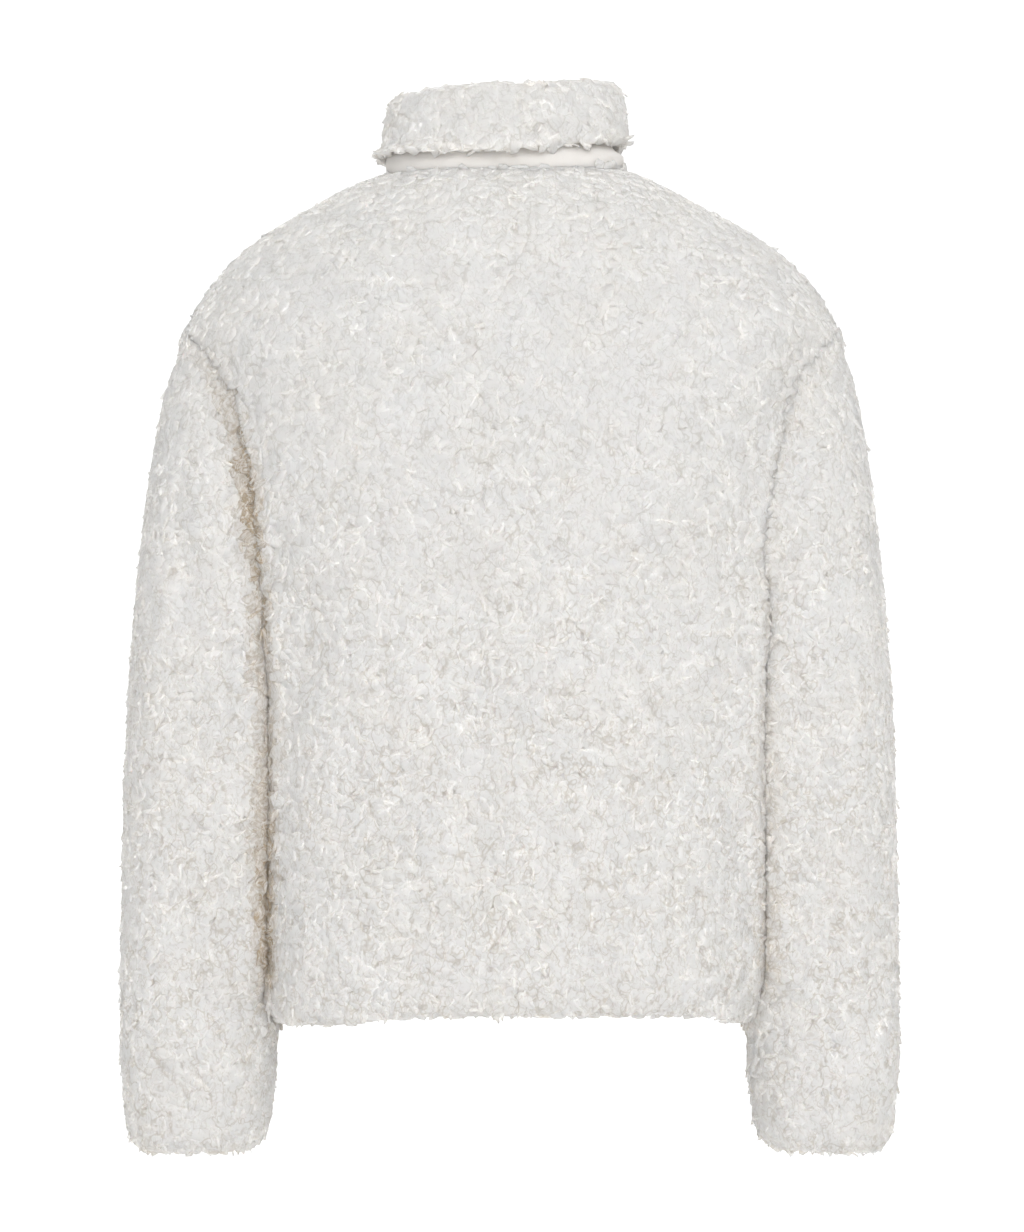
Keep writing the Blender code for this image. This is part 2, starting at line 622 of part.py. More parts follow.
def box(size, low):
    """A box of this size, from its lowest corner."""
    form = bmesh.new()
    made = bmesh.ops.create_cube(form, size=1.0)["verts"]
    bmesh.ops.scale(form, vec=size, verts=made)
    bmesh.ops.translate(form, vec=Vector(low) + Vector(size) / 2, verts=made)
    return form


def rod(radius, length, out):
    """A rod along X, this far out."""
    form = bmesh.new()
    bmesh.ops.create_cone(
        form, cap_ends=True, segments=ROD_SIDES, radius1=radius, radius2=radius, depth=length,
        matrix=Matrix.Translation((0, out, 0)) @ Matrix.Rotation(math.pi / 2, 4, "Y"),
    )
    return form


def joined(name, place, steps, look, pieces, cutters):
    """One object from a first shape and the shapes joined to it or cut from it, all put in one place."""
    target = None
    for k, (operation, form) in enumerate(steps):
        mesh = bpy.data.meshes.new(f"{name}_{k}")
        form.to_mesh(mesh)
        form.free()
        if target is None:
            target = add_object(name, mesh, look, pieces)
            target.matrix_world = place
            continue
        other = add_object(f"{name}_{operation.lower()}_{k}", mesh, look, cutters)
        other.matrix_world = place
        other.hide_render = True
        other.display_type = "WIRE"
        change = target.modifiers.new(other.name, "BOOLEAN")
        change.operation = operation
        change.solver = "EXACT"
        change.object = other
    return target


def front_place(z, out_by):
    """Axes for a hard piece on the middle of the front: X across, Y out, Z up along the zip."""
    point, out, up = zip_frame(z)
    turn = Matrix((Vector((-1, 0, 0)), out, up)).transposed().to_4x4()
    return Matrix.Translation(point + out * out_by) @ turn


def build_slider(look, pieces, cutters):
    back_face, back_inner, front_inner, front_face = slider_faces()
    wide, long = SLIDER["width"], SLIDER["length"]
    post_wide, post_long = SLIDER["post_width"], SLIDER["post_length"]
    steps = (
        ("", box((wide, SLIDER["front"], long), (-wide / 2, front_inner, -long / 2))),
        ("UNION", box((post_wide, front_inner - back_inner + 2 * SUNK, post_long),
                      (-post_wide / 2, back_inner - SUNK, SLIDER["post_up"] - post_long / 2))),
        ("UNION", box((wide, SLIDER["back"], long), (-wide / 2, back_face, -long / 2))),
        ("UNION", box((LUG["width"], LUG["height"] + SUNK, LUG["length"]),
                      (-LUG["width"] / 2, front_face - SUNK, -LUG["length"] / 2))),
        ("DIFFERENCE", rod(LUG["hole"], 3 * LUG["width"], hinge_out())),
    )
    return joined("zip_slider", front_place(SLIDER_Z, 0.0), steps, look, pieces, cutters)


def build_pull(look, pieces, cutters):
    """A tab on a bar that turns in the slider's lug. Its origin is on the bar's axis."""
    wide, thick, eye = PULL["width"], PULL["thickness"], PULL["eye"]
    arm_wide = wide / 2 - LUG["width"] / 2 - SLIDER["clear"]
    arm = (arm_wide, thick, eye + SUNK)
    tab = PULL["length"] - eye
    arm_low = -eye + thick / 2 - SUNK
    steps = (
        ("", box((wide, thick, tab), (-wide / 2, -thick / 2, arm_low + SUNK - tab))),
        ("UNION", box(arm, (-wide / 2, -thick / 2, arm_low))),
        ("UNION", box(arm, (wide / 2 - arm_wide, -thick / 2, arm_low))),
        ("UNION", rod(PULL["bar"], wide - arm_wide, 0.0)),
    )
    return joined("zip_pull", front_place(SLIDER_Z, hinge_out()), steps, look, pieces, cutters)


def build_end_box(look, pieces, cutters):
    """Under the ends of the tapes, where the two sides are joined at the hem."""
    wide, long, thick = END_BOX["width"], END_BOX["length"], END_BOX["thickness"]
    middle = tape_face() + (BEAD_STANDS - TAPE_THICKNESS) / 2
    steps = (("", box((wide, thick, long), (-wide / 2, middle - thick / 2, -SEAM_GAP - long))),)
    return joined("zip_end_box", front_place(TAPE_BOTTOM, 0.0), steps, look, pieces, cutters)


def main():
    for thing in list(bpy.data.objects):
        bpy.data.objects.remove(thing, do_unlink=True)
    pieces = bpy.data.collections.new("fleece_jacket")
    cutters = bpy.data.collections.new("cutters")
    for collection in (pieces, cutters):
        bpy.context.scene.collection.children.link(collection)
    fleece = material("fleece", FLEECE, 0.95)
    tape = material("zip_tape", TAPE, 0.85)
    nickel = material("nickel", NICKEL, 0.35, 1.0)
    build_body(fleece, pieces)
    for side in (1, -1):
        build_sleeve(side, fleece, pieces)
        build_tape(side, tape, pieces)
    build_collar(fleece, pieces)
    build_slider(nickel, pieces, cutters)
    build_pull(nickel, pieces, cutters)
    build_end_box(nickel, pieces, cutters)


main()
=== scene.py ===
import json
import math
import random

import bmesh
import bpy
import numpy as np
from mathutils import Matrix, Vector, bvhtree, kdtree, noise

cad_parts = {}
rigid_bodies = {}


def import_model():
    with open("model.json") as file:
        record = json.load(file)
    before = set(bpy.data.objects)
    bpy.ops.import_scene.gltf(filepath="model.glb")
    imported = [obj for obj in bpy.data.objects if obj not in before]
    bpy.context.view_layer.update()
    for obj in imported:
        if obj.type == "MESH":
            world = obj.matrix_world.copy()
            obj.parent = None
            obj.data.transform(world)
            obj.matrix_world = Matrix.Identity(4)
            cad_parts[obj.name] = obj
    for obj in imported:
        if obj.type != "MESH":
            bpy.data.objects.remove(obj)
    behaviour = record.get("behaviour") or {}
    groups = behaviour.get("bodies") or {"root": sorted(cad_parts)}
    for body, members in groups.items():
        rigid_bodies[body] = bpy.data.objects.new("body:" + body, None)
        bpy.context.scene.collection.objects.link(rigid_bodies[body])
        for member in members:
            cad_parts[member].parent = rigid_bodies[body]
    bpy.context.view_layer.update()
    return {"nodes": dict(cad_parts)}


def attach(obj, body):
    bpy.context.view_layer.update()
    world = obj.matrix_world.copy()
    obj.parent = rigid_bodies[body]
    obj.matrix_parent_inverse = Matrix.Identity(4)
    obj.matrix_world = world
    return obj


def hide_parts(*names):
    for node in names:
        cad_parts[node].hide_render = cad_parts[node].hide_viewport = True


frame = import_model()
scene = bpy.context.scene


def feed(node, fed):
    # its inputs, by name or by place, get numbers, colours, things or the outputs of other nodes
    for key, value in fed.items():
        socket = node.inputs[key]
        if isinstance(value, bpy.types.NodeSocket):
            node.id_data.links.new(value, socket)
        else:
            socket.default_value = (*value, 1.0) if socket.type == "RGBA" else value
    return node


def addNode(tree, kind, fed=None, **settings):
    node = tree.nodes.new(kind)
    for name, value in settings.items():
        setattr(node, name, value)
    return feed(node, fed or {})


def newMaterial(name):
    made = bpy.data.materials.new(name)
    made.use_nodes = True
    return made, made.node_tree, made.node_tree.nodes["Principled BSDF"]


def placeOn(tree):
    return addNode(tree, "ShaderNodeTexCoord").outputs["Object"]


def markedOn(tree, name):
    return addNode(tree, "ShaderNodeAttribute", attribute_name=name).outputs["Fac"]


def drawnUp(tree, where, share):
    # a place for patterns that are drawn out upwards: the smaller the share, the longer they are
    return addNode(tree, "ShaderNodeMapping", {"Vector": where, "Scale": (1.0, 1.0, share)}).outputs["Vector"]


def mathNode(tree, operation, a, b=None, clamp=False):
    fed = {0: a} if b is None else {0: a, 1: b}
    return addNode(tree, "ShaderNodeMath", fed, operation=operation, use_clamp=clamp).outputs[0]


def mixColours(tree, share, first, second):
    return addNode(tree, "ShaderNodeMix", {0: share, 6: first, 7: second}, data_type="RGBA").outputs[2]


def noiseNode(tree, where, scale, detail=2.0, roughness=0.5):
    fed = {"Vector": where, "Scale": scale, "Detail": detail, "Roughness": roughness}
    return addNode(tree, "ShaderNodeTexNoise", fed).outputs["Fac"]


def rangeNode(tree, value, low, high, toLow=0.0, toHigh=1.0):
    fed = {"Value": value, "From Min": low, "From Max": high, "To Min": toLow, "To Max": toHigh}
    return addNode(tree, "ShaderNodeMapRange", fed, clamp=True).outputs["Result"]


def bumpNode(tree, height, strength, distance, normal=None):
    fed = {"Height": height, "Strength": strength, "Distance": distance}
    if normal is not None:
        fed["Normal"] = normal
    return addNode(tree, "ShaderNodeBump", fed).outputs["Normal"]


def ramp(value, start, length):
    # 0 before the start, softly up to 1 past its length; a length below 0 runs downwards
    share = min(max((value - start) / length, 0.0), 1.0)
    return share * share * (3.0 - 2.0 * share)


# fleece: matted curls, whiter at their tips, with painted shade, warmer and darker, down at their roots and
# between them
fleeceLook = {
    "tip": (0.775, 0.770, 0.762),
    "side": (0.765, 0.756, 0.742),
    "root": (0.608, 0.592, 0.560),
    "warm": (0.760, 0.742, 0.712),  # in slow patches, this much of it at most
    "warmMost": 0.35,
    "patch": 22.0,
    "rootShadeLow": (0.560, 0.525, 0.475),  # the painted root shade on the sleeves' and the body's lower parts, darker there
    "low": (-0.16, -0.44),
    "deep": (0.420, 0.345, 0.255),  # painted shade where the body and a sleeve press on each other
    "tipFrom": (0.05, 0.62),  # how far up a flake the painted root shade goes
    "flake": 75.0,  # how closely the painted crevice shades follow each other, between large flakes and small ones
    "lump": 165.0,
    "crevice": {"flake": 0.026, "lump": 0.036},  # half their width
    "gapSize": 0.83,  # gaps in them, to crevices
    "gapFrom": (0.47, 0.60),
    "lumpFaint": 0.35,  # the painted shade in crevices between lumps stays this pale
    "between": (0.34, 0.46, 0.45, 1.0),  # painted shade down between its strands
    # how far the painted crevice shade goes to the root's colour
    "creviceShadeDepth": 0.85,
    "flakeDrawn": 0.74,
    "strand": 560.0,
    "strandDrawn": 0.34,
    "strandBump": (0.26, 0.0009),  # strength and height
    "bend": 110.0,  # how closely the strands bend, and how far
    "bendReach": 0.016,
    "roughness": 0.95,
    "sheen": 0.06,
    "sheenRoughness": 0.55,
    "gloss": 0.05,
    "glow": 0.85,  # how much of the light is spread through the wool
    "glowColour": (1.0, 0.93, 0.85),
    "glowReach": 0.0065,
}


def woolShading(shader):
    shader.subsurface_method = "BURLEY"
    feed(shader, {
        "Subsurface Weight": fleeceLook["glow"],
        "Subsurface Radius": fleeceLook["glowColour"],
        "Subsurface Scale": fleeceLook["glowReach"],
        "Roughness": fleeceLook["roughness"],
        "Sheen Weight": fleeceLook["sheen"],
        "Sheen Roughness": fleeceLook["sheenRoughness"],
        "Specular IOR Level": fleeceLook["gloss"],
    })


def crevices(tree, where, scale, width, detail):
    # 0 in thin curved lines with gaps in them, 1 away from them: a mask for painted crevice shade
    field = noiseNode(tree, where, scale, detail, 0.55)
    away = mathNode(tree, "ABSOLUTE", mathNode(tree, "SUBTRACT", field, 0.5))
    gaps = noiseNode(tree, where, scale * fleeceLook["gapSize"], 0.0)
    gaps = rangeNode(tree, gaps, *fleeceLook["gapFrom"])
    return mathNode(tree, "MAXIMUM", rangeNode(tree, away, 0.0, width), gaps)


def woolTexture(tree, where):
    # painted crevice shade between broad flakes and between small lumps, and the relief and tone of fine
    # fibres over all
    flakes, wide = drawnUp(tree, where, fleeceLook["flakeDrawn"]), fleeceLook["crevice"]
    large = crevices(tree, flakes, fleeceLook["flake"], wide["flake"], 2.0)
    small = crevices(tree, flakes, fleeceLook["lump"], wide["lump"], 1.0)
    bend = addNode(tree, "ShaderNodeTexNoise", {"Vector": where, "Scale": fleeceLook["bend"], "Detail": 0.0})
    fed = {0: bend.outputs["Color"], 1: (fleeceLook["bendReach"],) * 3, 2: where}
    bent = addNode(tree, "ShaderNodeVectorMath", fed, operation="MULTIPLY_ADD")
    strands = drawnUp(tree, bent.outputs["Vector"], fleeceLook["strandDrawn"])
    wool = noiseNode(tree, strands, fleeceLook["strand"], 1.5, 0.62)
    small = rangeNode(tree, small, 0.0, 1.0, fleeceLook["lumpFaint"], 1.0)
    shadeLines = mathNode(tree, "MULTIPLY", large, small)
    shadeLines = mathNode(tree, "MULTIPLY", shadeLines, rangeNode(tree, wool, *fleeceLook["between"]))
    return shadeLines, bumpNode(tree, wool, *fleeceLook["strandBump"]), wool


def paleCurlMaterial():
    made, tree, shader = newMaterial("fleece_curls")
    where = placeOn(tree)
    shadeLines, normal, wool = woolTexture(tree, where)
    height = addNode(tree, "ShaderNodeSeparateXYZ", {0: where}).outputs["Z"]
    low = rangeNode(tree, height, *fleeceLook["low"])
    # the painted root shade, darker and warmer lower down
    root = mixColours(tree, low, fleeceLook["root"], fleeceLook["rootShadeLow"])
    # painted shade at each flake's root, paling up to its tip; some tips paler at random
    tip = rangeNode(tree, markedOn(tree, "along"), *fleeceLook["tipFrom"])
    colour = mixColours(tree, tip, root, fleeceLook["side"])
    bright = mathNode(tree, "MULTIPLY", tip, rangeNode(tree, markedOn(tree, "tone"), 0.0, 1.0, 0.25, 1.0))
    colour = mixColours(tree, bright, colour, fleeceLook["tip"])
    patches = rangeNode(tree, noiseNode(tree, where, fleeceLook["patch"], 1.5, 0.55), 0.40, 0.70)
    warmth = mathNode(tree, "MULTIPLY", patches, fleeceLook["warmMost"])
    colour = mixColours(tree, warmth, colour, fleeceLook["warm"])
    # painted shade down in the crevices, in the root's colour
    colour = mixColours(tree, rangeNode(tree, shadeLines, 0.0, 1.0, fleeceLook["creviceShadeDepth"], 0.0), colour, root)
    broken = rangeNode(tree, wool, 0.36, 0.62, 1.25, 0.40)  # the painted groove shade spares its strands more than what is between them
    # painted shade in the groove where the body and a sleeve meet
    deep = mathNode(tree, "MULTIPLY", markedOn(tree, "deep"), broken, clamp=True)
    feed(shader, {"Base Color": mixColours(tree, deep, colour, fleeceLook["deep"]), "Normal": normal})
    woolShading(shader)
    return made


def groundMaterial():
    # dense short wool under the curls, with painted shade in its crevices
    made, tree, shader = newMaterial("fleece_ground")
    shadeLines, normal, _ = woolTexture(tree, placeOn(tree))
    colour = mixColours(tree, shadeLines, fleeceLook["root"], fleeceLook["side"])
    feed(shader, {"Base Color": colour, "Normal": normal})
    woolShading(shader)
    return made


knitLook = {
    "light": (0.800, 0.770, 0.715),
    "dark": (0.690, 0.655, 0.595),
    "patchColour": (0.79, 0.765, 0.72),
    "wale": 0.0011,
    "coursesToWales": 1.3,
    "relief": 0.0004,
}


def knitBackMaterial():
    # the flat knitted side: fine upright wales with short courses across them
    made, tree, shader = newMaterial("fleece_knit_back")
    where, often = placeOn(tree), math.tau / (20.0 * knitLook["wale"])  # one band a wale
    cloth = addNode(tree, "ShaderNodeUVMap", uv_map="cloth").outputs["UV"]
    fed = {"Vector": cloth, "Scale": often, "Distortion": 1.2, "Detail": 2.0, "Detail Scale": 3.0}
    wales = addNode(tree, "ShaderNodeTexWave", fed, wave_type="BANDS", bands_direction="X")
    fed = {"Vector": cloth, "Scale": often * knitLook["coursesToWales"], "Distortion": 1.5}
    courses = addNode(tree, "ShaderNodeTexWave", fed, wave_type="BANDS", bands_direction="Y")
    loops = mathNode(tree, "MULTIPLY", wales.outputs["Fac"], courses.outputs["Fac"])
    shade = rangeNode(tree, loops, 0.1, 0.8, 0.35, 1.0)
    colour = mixColours(tree, shade, knitLook["dark"], knitLook["light"])
    patches = rangeNode(tree, noiseNode(tree, where, 30.0, 4.0, 0.6), 0.35, 0.75, 0.0, 0.35)
    normal = bumpNode(tree, loops, 0.5, knitLook["relief"])
    feed(shader, {
        "Base Color": mixColours(tree, patches, colour, knitLook["patchColour"]),
        "Normal": bumpNode(tree, noiseNode(tree, where, 900.0, 3.0, 0.6), 0.3, knitLook["relief"], normal),
        "Roughness": 0.9,
        "Sheen Weight": 0.2,
        "Specular IOR Level": 0.2,
    })
    return made


# paler than the wool as painted light, lifting the shade under the collar's fall
bandLook = {"light": (0.940, 0.914, 0.880), "dark": (0.915, 0.888, 0.850), "relief": 0.0006}


def bandMaterial():
    # the smooth napped facing that the collar's stand shows under its fall, paler than the wool: painted
    # light against the fall's shade
    made, tree, shader = newMaterial("collar_band")
    where = placeOn(tree)
    patches = rangeNode(tree, noiseNode(tree, where, 60.0, 3.0, 0.6), 0.35, 0.70)
    nap = noiseNode(tree, where, 1100.0, 3.0, 0.6)
    feed(shader, {
        "Base Color": mixColours(tree, patches, bandLook["light"], bandLook["dark"]),
        "Normal": bumpNode(tree, nap, 0.35, bandLook["relief"]),
    })
    woolShading(shader)
    return made


curls, ground = paleCurlMaterial(), groundMaterial()
knitBack, band = knitBackMaterial(), bandMaterial()
print("fleece materials ready")

# cloth panels: each stands on its own solid, smoothed, with its finer creases pressed in
clothPanel = {
    "merge": 0.00002,
    "joined": (math.radians(35.0), math.radians(60.0)),  # triangles that are joined turn less than this
    "sharp": math.radians(48.0),  # a cut edge turns more than this
    "bigPatch": 0.006,  # square metres: a cut edge's strip is smaller than this
    "rimStep": 0.001,
    "levels": 2,
    "swell": 0.0010,  # slow swelling and sinking of the filled-out cloth
    "swellSize": 0.075,
    "ripple": 0.0005,
    "rippleSize": 0.028,
    "rippleFrom": Vector((7.0, 3.0, 1.0)),
}

# a pair says where a change starts and how far it takes, downwards or inwards where that is below 0
collarFit = {
    "axis": (0.005, -0.010),
    "above": (-0.005, 0.03),
    "round": 0.0022,  # above there it is drawn in, so that its wool reaches only as far as its solid
    "down": 0.0032,
    "behind": (-0.035, 0.03),
    "sideways": (0.045, 0.035),
    "standUpTo": (0.012, -0.006),
    "stand": 0.0030,  # its stand fills out under the fall, more at the sides of the neck
    "standSides": 0.0050,
    "seamUpTo": (0.001, -0.004),
    "seam": 0.0050,  # and goes down into the body's wool
}
hemFit = {"up": 0.0055, "below": (-0.570, -0.030), "middle": (0.160, -0.02)}  # its wool hangs below the cloth

# x0, z0, x1, z1, half width, depth; a negative depth is a ridge
backCreases = (
    (0.018, -0.295, 0.024, -0.380, 0.012, 0.0016),
    (0.026, -0.375, 0.016, -0.520, 0.014, 0.0020),
    (-0.004, -0.330, 0.000, -0.450, 0.020, -0.0014),
    (-0.104, -0.290, -0.112, -0.360, 0.011, 0.0018),
    (-0.109, -0.355, -0.097, -0.480, 0.013, 0.0018),
    (-0.080, -0.340, -0.076, -0.500, 0.020, -0.0014),
    (-0.141, -0.255, -0.148, -0.345, 0.010, 0.0022),
    (0.132, -0.270, 0.147, -0.360, 0.010, 0.0020),
    (0.112, -0.410, 0.104, -0.560, 0.014, 0.0016),
    (0.064, -0.520, 0.052, -0.600, 0.012, 0.0012),
    (-0.040, -0.540, -0.030, -0.605, 0.012, 0.0012),
    (-0.130, -0.520, -0.122, -0.600, 0.012, 0.0014),
    (0.090, -0.018, 0.140, -0.066, 0.012, 0.0016),
    (-0.085, -0.018, -0.128, -0.058, 0.010, 0.0010),
)
frontCreases = (
    (0.088, -0.250, 0.070, -0.360, 0.012, 0.0018),
    (0.072, -0.355, 0.060, -0.490, 0.013, 0.0020),
    (0.112, -0.330, 0.108, -0.500, 0.020, -0.0014),
    (0.134, -0.200, 0.142, -0.330, 0.010, 0.0022),
    (0.034, -0.470, 0.038, -0.590, 0.010, 0.0014),
    (0.120, -0.500, 0.128, -0.600, 0.012, 0.0014),
    (-0.096, -0.220, -0.086, -0.330, 0.012, 0.0018),
    (-0.085, -0.330, -0.078, -0.450, 0.011, 0.0016),
    (-0.140, -0.240, -0.146, -0.350, 0.010, 0.0020),
    (-0.048, -0.380, -0.044, -0.520, 0.016, -0.0014),
    (-0.074, -0.470, -0.082, -0.600, 0.013, 0.0018),
    (-0.128, -0.430, -0.118, -0.540, 0.012, 0.0014),
)
leftSleeveCreases = (
    (0.244, -0.195, 0.232, -0.275, 0.009, 0.0022),
    (0.229, -0.280, 0.219, -0.385, 0.010, 0.0024),
    (0.219, -0.380, 0.226, -0.480, 0.010, 0.0022),
    (0.224, -0.475, 0.221, -0.600, 0.010, 0.0020),
    (0.250, -0.420, 0.254, -0.560, 0.014, -0.0014),
    (0.196, -0.460, 0.199, -0.600, 0.012, -0.0012),
    (0.190, -0.633, 0.262, -0.645, 0.008, 0.0014),
)
rightSleeveCreases = (
    (-0.238, -0.200, -0.231, -0.300, 0.009, 0.0016),
    (-0.230, -0.300, -0.229, -0.400, 0.010, 0.0014),
    (-0.263, -0.485, -0.252, -0.600, 0.009, 0.0022),
    (-0.221, -0.500, -0.224, -0.600, 0.009, 0.0022),
    (-0.242, -0.420, -0.240, -0.580, 0.013, -0.0014),
    (-0.192, -0.640, -0.258, -0.630, 0.008, 0.0014),
)
panelFacts = {
    "back": {"axis": (0.0, 0.0), "creases": backCreases, "freeBelow": -0.59},
    "front_left": {"axis": (0.0, 0.0), "creases": frontCreases, "freeBelow": -0.59},
    "front_right": {"axis": (0.0, 0.0), "creases": frontCreases, "freeBelow": -0.59},
    "sleeve_left": {"axis": (0.225, 0.0), "creases": leftSleeveCreases, "freeBelow": -0.69},
    "sleeve_right": {"axis": (-0.225, 0.0), "creases": rightSleeveCreases, "freeBelow": -0.69},
}
# the line down the middle of a sleeve, and how far a face of its outside looks away from it
sleeveMiddle = {
    "x": 0.200,
    "further": 0.0255,
    "from": -0.20,
    "over": 0.25,
    "z": (-0.66, -0.16),
    "facing": 0.15,
}


def pressIn(creases, x, z):
    depth = 0.0
    for x0, z0, x1, z1, halfWidth, deep in creases:
        alongX, alongZ = x1 - x0, z1 - z0
        share = ((x - x0) * alongX + (z - z0) * alongZ) / (alongX * alongX + alongZ * alongZ)
        share = min(max(share, 0.0), 1.0)
        away = math.hypot(x - x0 - alongX * share, z - z0 - alongZ * share) / halfWidth
        depth += deep * math.exp(-away * away)
    return depth


def grownFace(seed, limit, fits):
    # every face that is reached from the seed without crossing a cut edge, and that fits
    found, todo = {seed}, [seed]
    while todo:
        face = todo.pop()
        for edge in face.edges:
            for other in edge.link_faces:
                if other not in found and edge.calc_face_angle(0.0) < limit and fits(other):
                    found.add(other)
                    todo.append(other)
    return found


def anyFace(face):
    return True


def outsideOfSleeve(face):
    # looks away from the line down the middle of its sleeve
    p, line = face.calc_center_median(), sleeveMiddle
    down = min(max((line["from"] - p.z) / line["over"], 0.0), 1.0)
    x = math.copysign(1.0, p.x) * (line["x"] + line["further"] * down)
    away = p - Vector((x, 0.0, min(max(p.z, line["z"][0]), line["z"][1])))
    return face.normal.dot(away) > line["facing"] * away.length


def mergedCopy(nodeName):
    form = bmesh.new()
    form.from_mesh(frame["nodes"][nodeName].data)
    bmesh.ops.remove_doubles(form, verts=form.verts, dist=clothPanel["merge"])
    for layer in list(form.loops.layers.uv):
        form.loops.layers.uv.remove(layer)
    turn, skew = clothPanel["joined"]
    bmesh.ops.join_triangles(form, faces=form.faces, angle_face_threshold=turn, angle_shape_threshold=skew)
    return form


def plainMesh(form, name, smooth=True):
    mesh = bpy.data.meshes.new(name)
    form.to_mesh(mesh)
    form.free()
    for attribute in list(mesh.attributes):
        if "custom_normal" in attribute.name:
            mesh.attributes.remove(attribute)
    if smooth:
        mesh.shade_smooth()
    return mesh


def newPiece(name, data):
    piece = bpy.data.objects.new(name, data)
    scene.collection.objects.link(piece)
    return piece


def settle(piece):
    # its modifiers go into its mesh
    graph = bpy.context.evaluated_depsgraph_get()
    piece.data = bpy.data.meshes.new_from_object(piece.evaluated_get(graph), depsgraph=graph)
    piece.data.name = piece.name
    piece.modifiers.clear()


def sortRims(faces, sharp):
    # the faces parted at every cut edge
    left, strips = set(faces), []
    while left:
        strip = grownFace(min(left, key=lambda f: f.index), sharp, left.__contains__)
        strips.append(strip)
        left -= strip
    return strips


def middleHeight(faces):
    return sum(f.calc_center_median().z for f in faces) / len(faces)


def clothUV(mesh, axis):
    # metres round the piece and metres up it
    layer = mesh.uv_layers.new(name="cloth")
    co = np.empty(len(mesh.vertices) * 3)
    mesh.vertices.foreach_get("co", co)
    co = co.reshape(-1, 3)
    turn = np.arctan2(co[:, 1] - axis[1], co[:, 0] - axis[0])
    reach = np.median(np.hypot(co[:, 1] - axis[1], co[:, 0] - axis[0]))
    around = np.stack([turn * reach, co[:, 2]], 1)
    loops = np.empty(len(mesh.loops), int)
    mesh.loops.foreach_get("vertex_index", loops)
    layer.data.foreach_set("uv", around[loops].ravel())


def fitCollar(v, outward):
    p, axis = v.co, collarFit["axis"]
    above = ramp(p.z, *collarFit["above"])
    v.co.xy = v.co.xy - outward.xy * (collarFit["round"] * above)
    v.co.z -= collarFit["down"] * above
    behind = ramp(p.y - axis[1], *collarFit["behind"])
    sideways = ramp(abs(p.x - axis[0]), *collarFit["sideways"])
    out = (collarFit["stand"] + collarFit["standSides"] * sideways) * ramp(p.z, *collarFit["standUpTo"])
    v.co.xy = v.co.xy + outward.xy * (out * behind)
    v.co.z -= collarFit["seam"] * ramp(p.z, *collarFit["seamUpTo"]) * behind


def makePanel(nodeName, rimIsPile, creases, axis, fits=anyFace):
    # its outer face grows from the place that is furthest out, rimIsPile says which cut edges are furry
    form = mergedCopy(nodeName)
    form.faces.index_update()
    form.normal_update()
    reach = {f: (f.calc_center_median().xy - Vector(axis)).length for f in form.faces}
    outer = grownFace(max(form.faces, key=lambda f: (reach[f], f.index)), clothPanel["sharp"], fits)
    strips = [
        patch for patch in sortRims(set(form.faces) - outer, clothPanel["sharp"])
        if sum(face.calc_area() for face in patch) <= clothPanel["bigPatch"]
    ]
    crease = form.edges.layers.float.get("crease_edge") or form.edges.layers.float.new("crease_edge")
    for face in form.faces:
        face.material_index = 0 if face in outer else 1
    for strip in strips:
        furry = rimIsPile(strip, strips)
        for face in strip:
            if furry:
                face.material_index = 0
                continue
            for edge in face.edges:
                if any(other not in strip for other in edge.link_faces):
                    edge[crease] = 1.0
    piece = newPiece(nodeName + "_cloth", plainMesh(form, nodeName + "_cloth"))
    smooth = piece.modifiers.new("smooth", "SUBSURF")
    smooth.levels = smooth.render_levels = clothPanel["levels"]
    smooth.boundary_smooth = "PRESERVE_CORNERS"
    settle(piece)
    mesh = piece.data
    for v in mesh.vertices:
        p = v.co
        outward = Vector((p.x - axis[0], p.y - axis[1], 0.0))
        outward.normalize()
        move = noise.noise(p / clothPanel["swellSize"]) * clothPanel["swell"]
        move += noise.noise(p / clothPanel["rippleSize"] + clothPanel["rippleFrom"]) * clothPanel["ripple"]
        facing = abs(outward.y)
        v.co = p + outward * (move * min(1.0, facing * 2.0) - pressIn(creases, p.x, p.z) * facing)
        if nodeName == "collar":
            fitCollar(v, outward)
        elif "sleeve" not in nodeName:
            v.co.z += hemFit["up"] * ramp(p.z, *hemFit["below"]) * ramp(abs(p.x), *hemFit["middle"])
    mesh.update()
    mesh.materials.append(ground)
    mesh.materials.append(band if nodeName == "collar" else knitBack)
    clothUV(mesh, axis)
    print(nodeName, "cloth has", len(mesh.polygons), "faces")
    return piece


def lowStrip(free):
    return lambda strip, strips: middleHeight(strip) < free


def aboveLowest(strip, strips):
    return middleHeight(strip) > min(middleHeight(s) for s in strips) + clothPanel["rimStep"]


panels = {}
for name, facts in panelFacts.items():
    fits = outsideOfSleeve if "sleeve" in name else anyFace
    panels[name] = makePanel(name, lowStrip(facts["freeBelow"]), facts["creases"], facts["axis"], fits)
panels["collar"] = makePanel("collar", aboveLowest, (), collarFit["axis"])

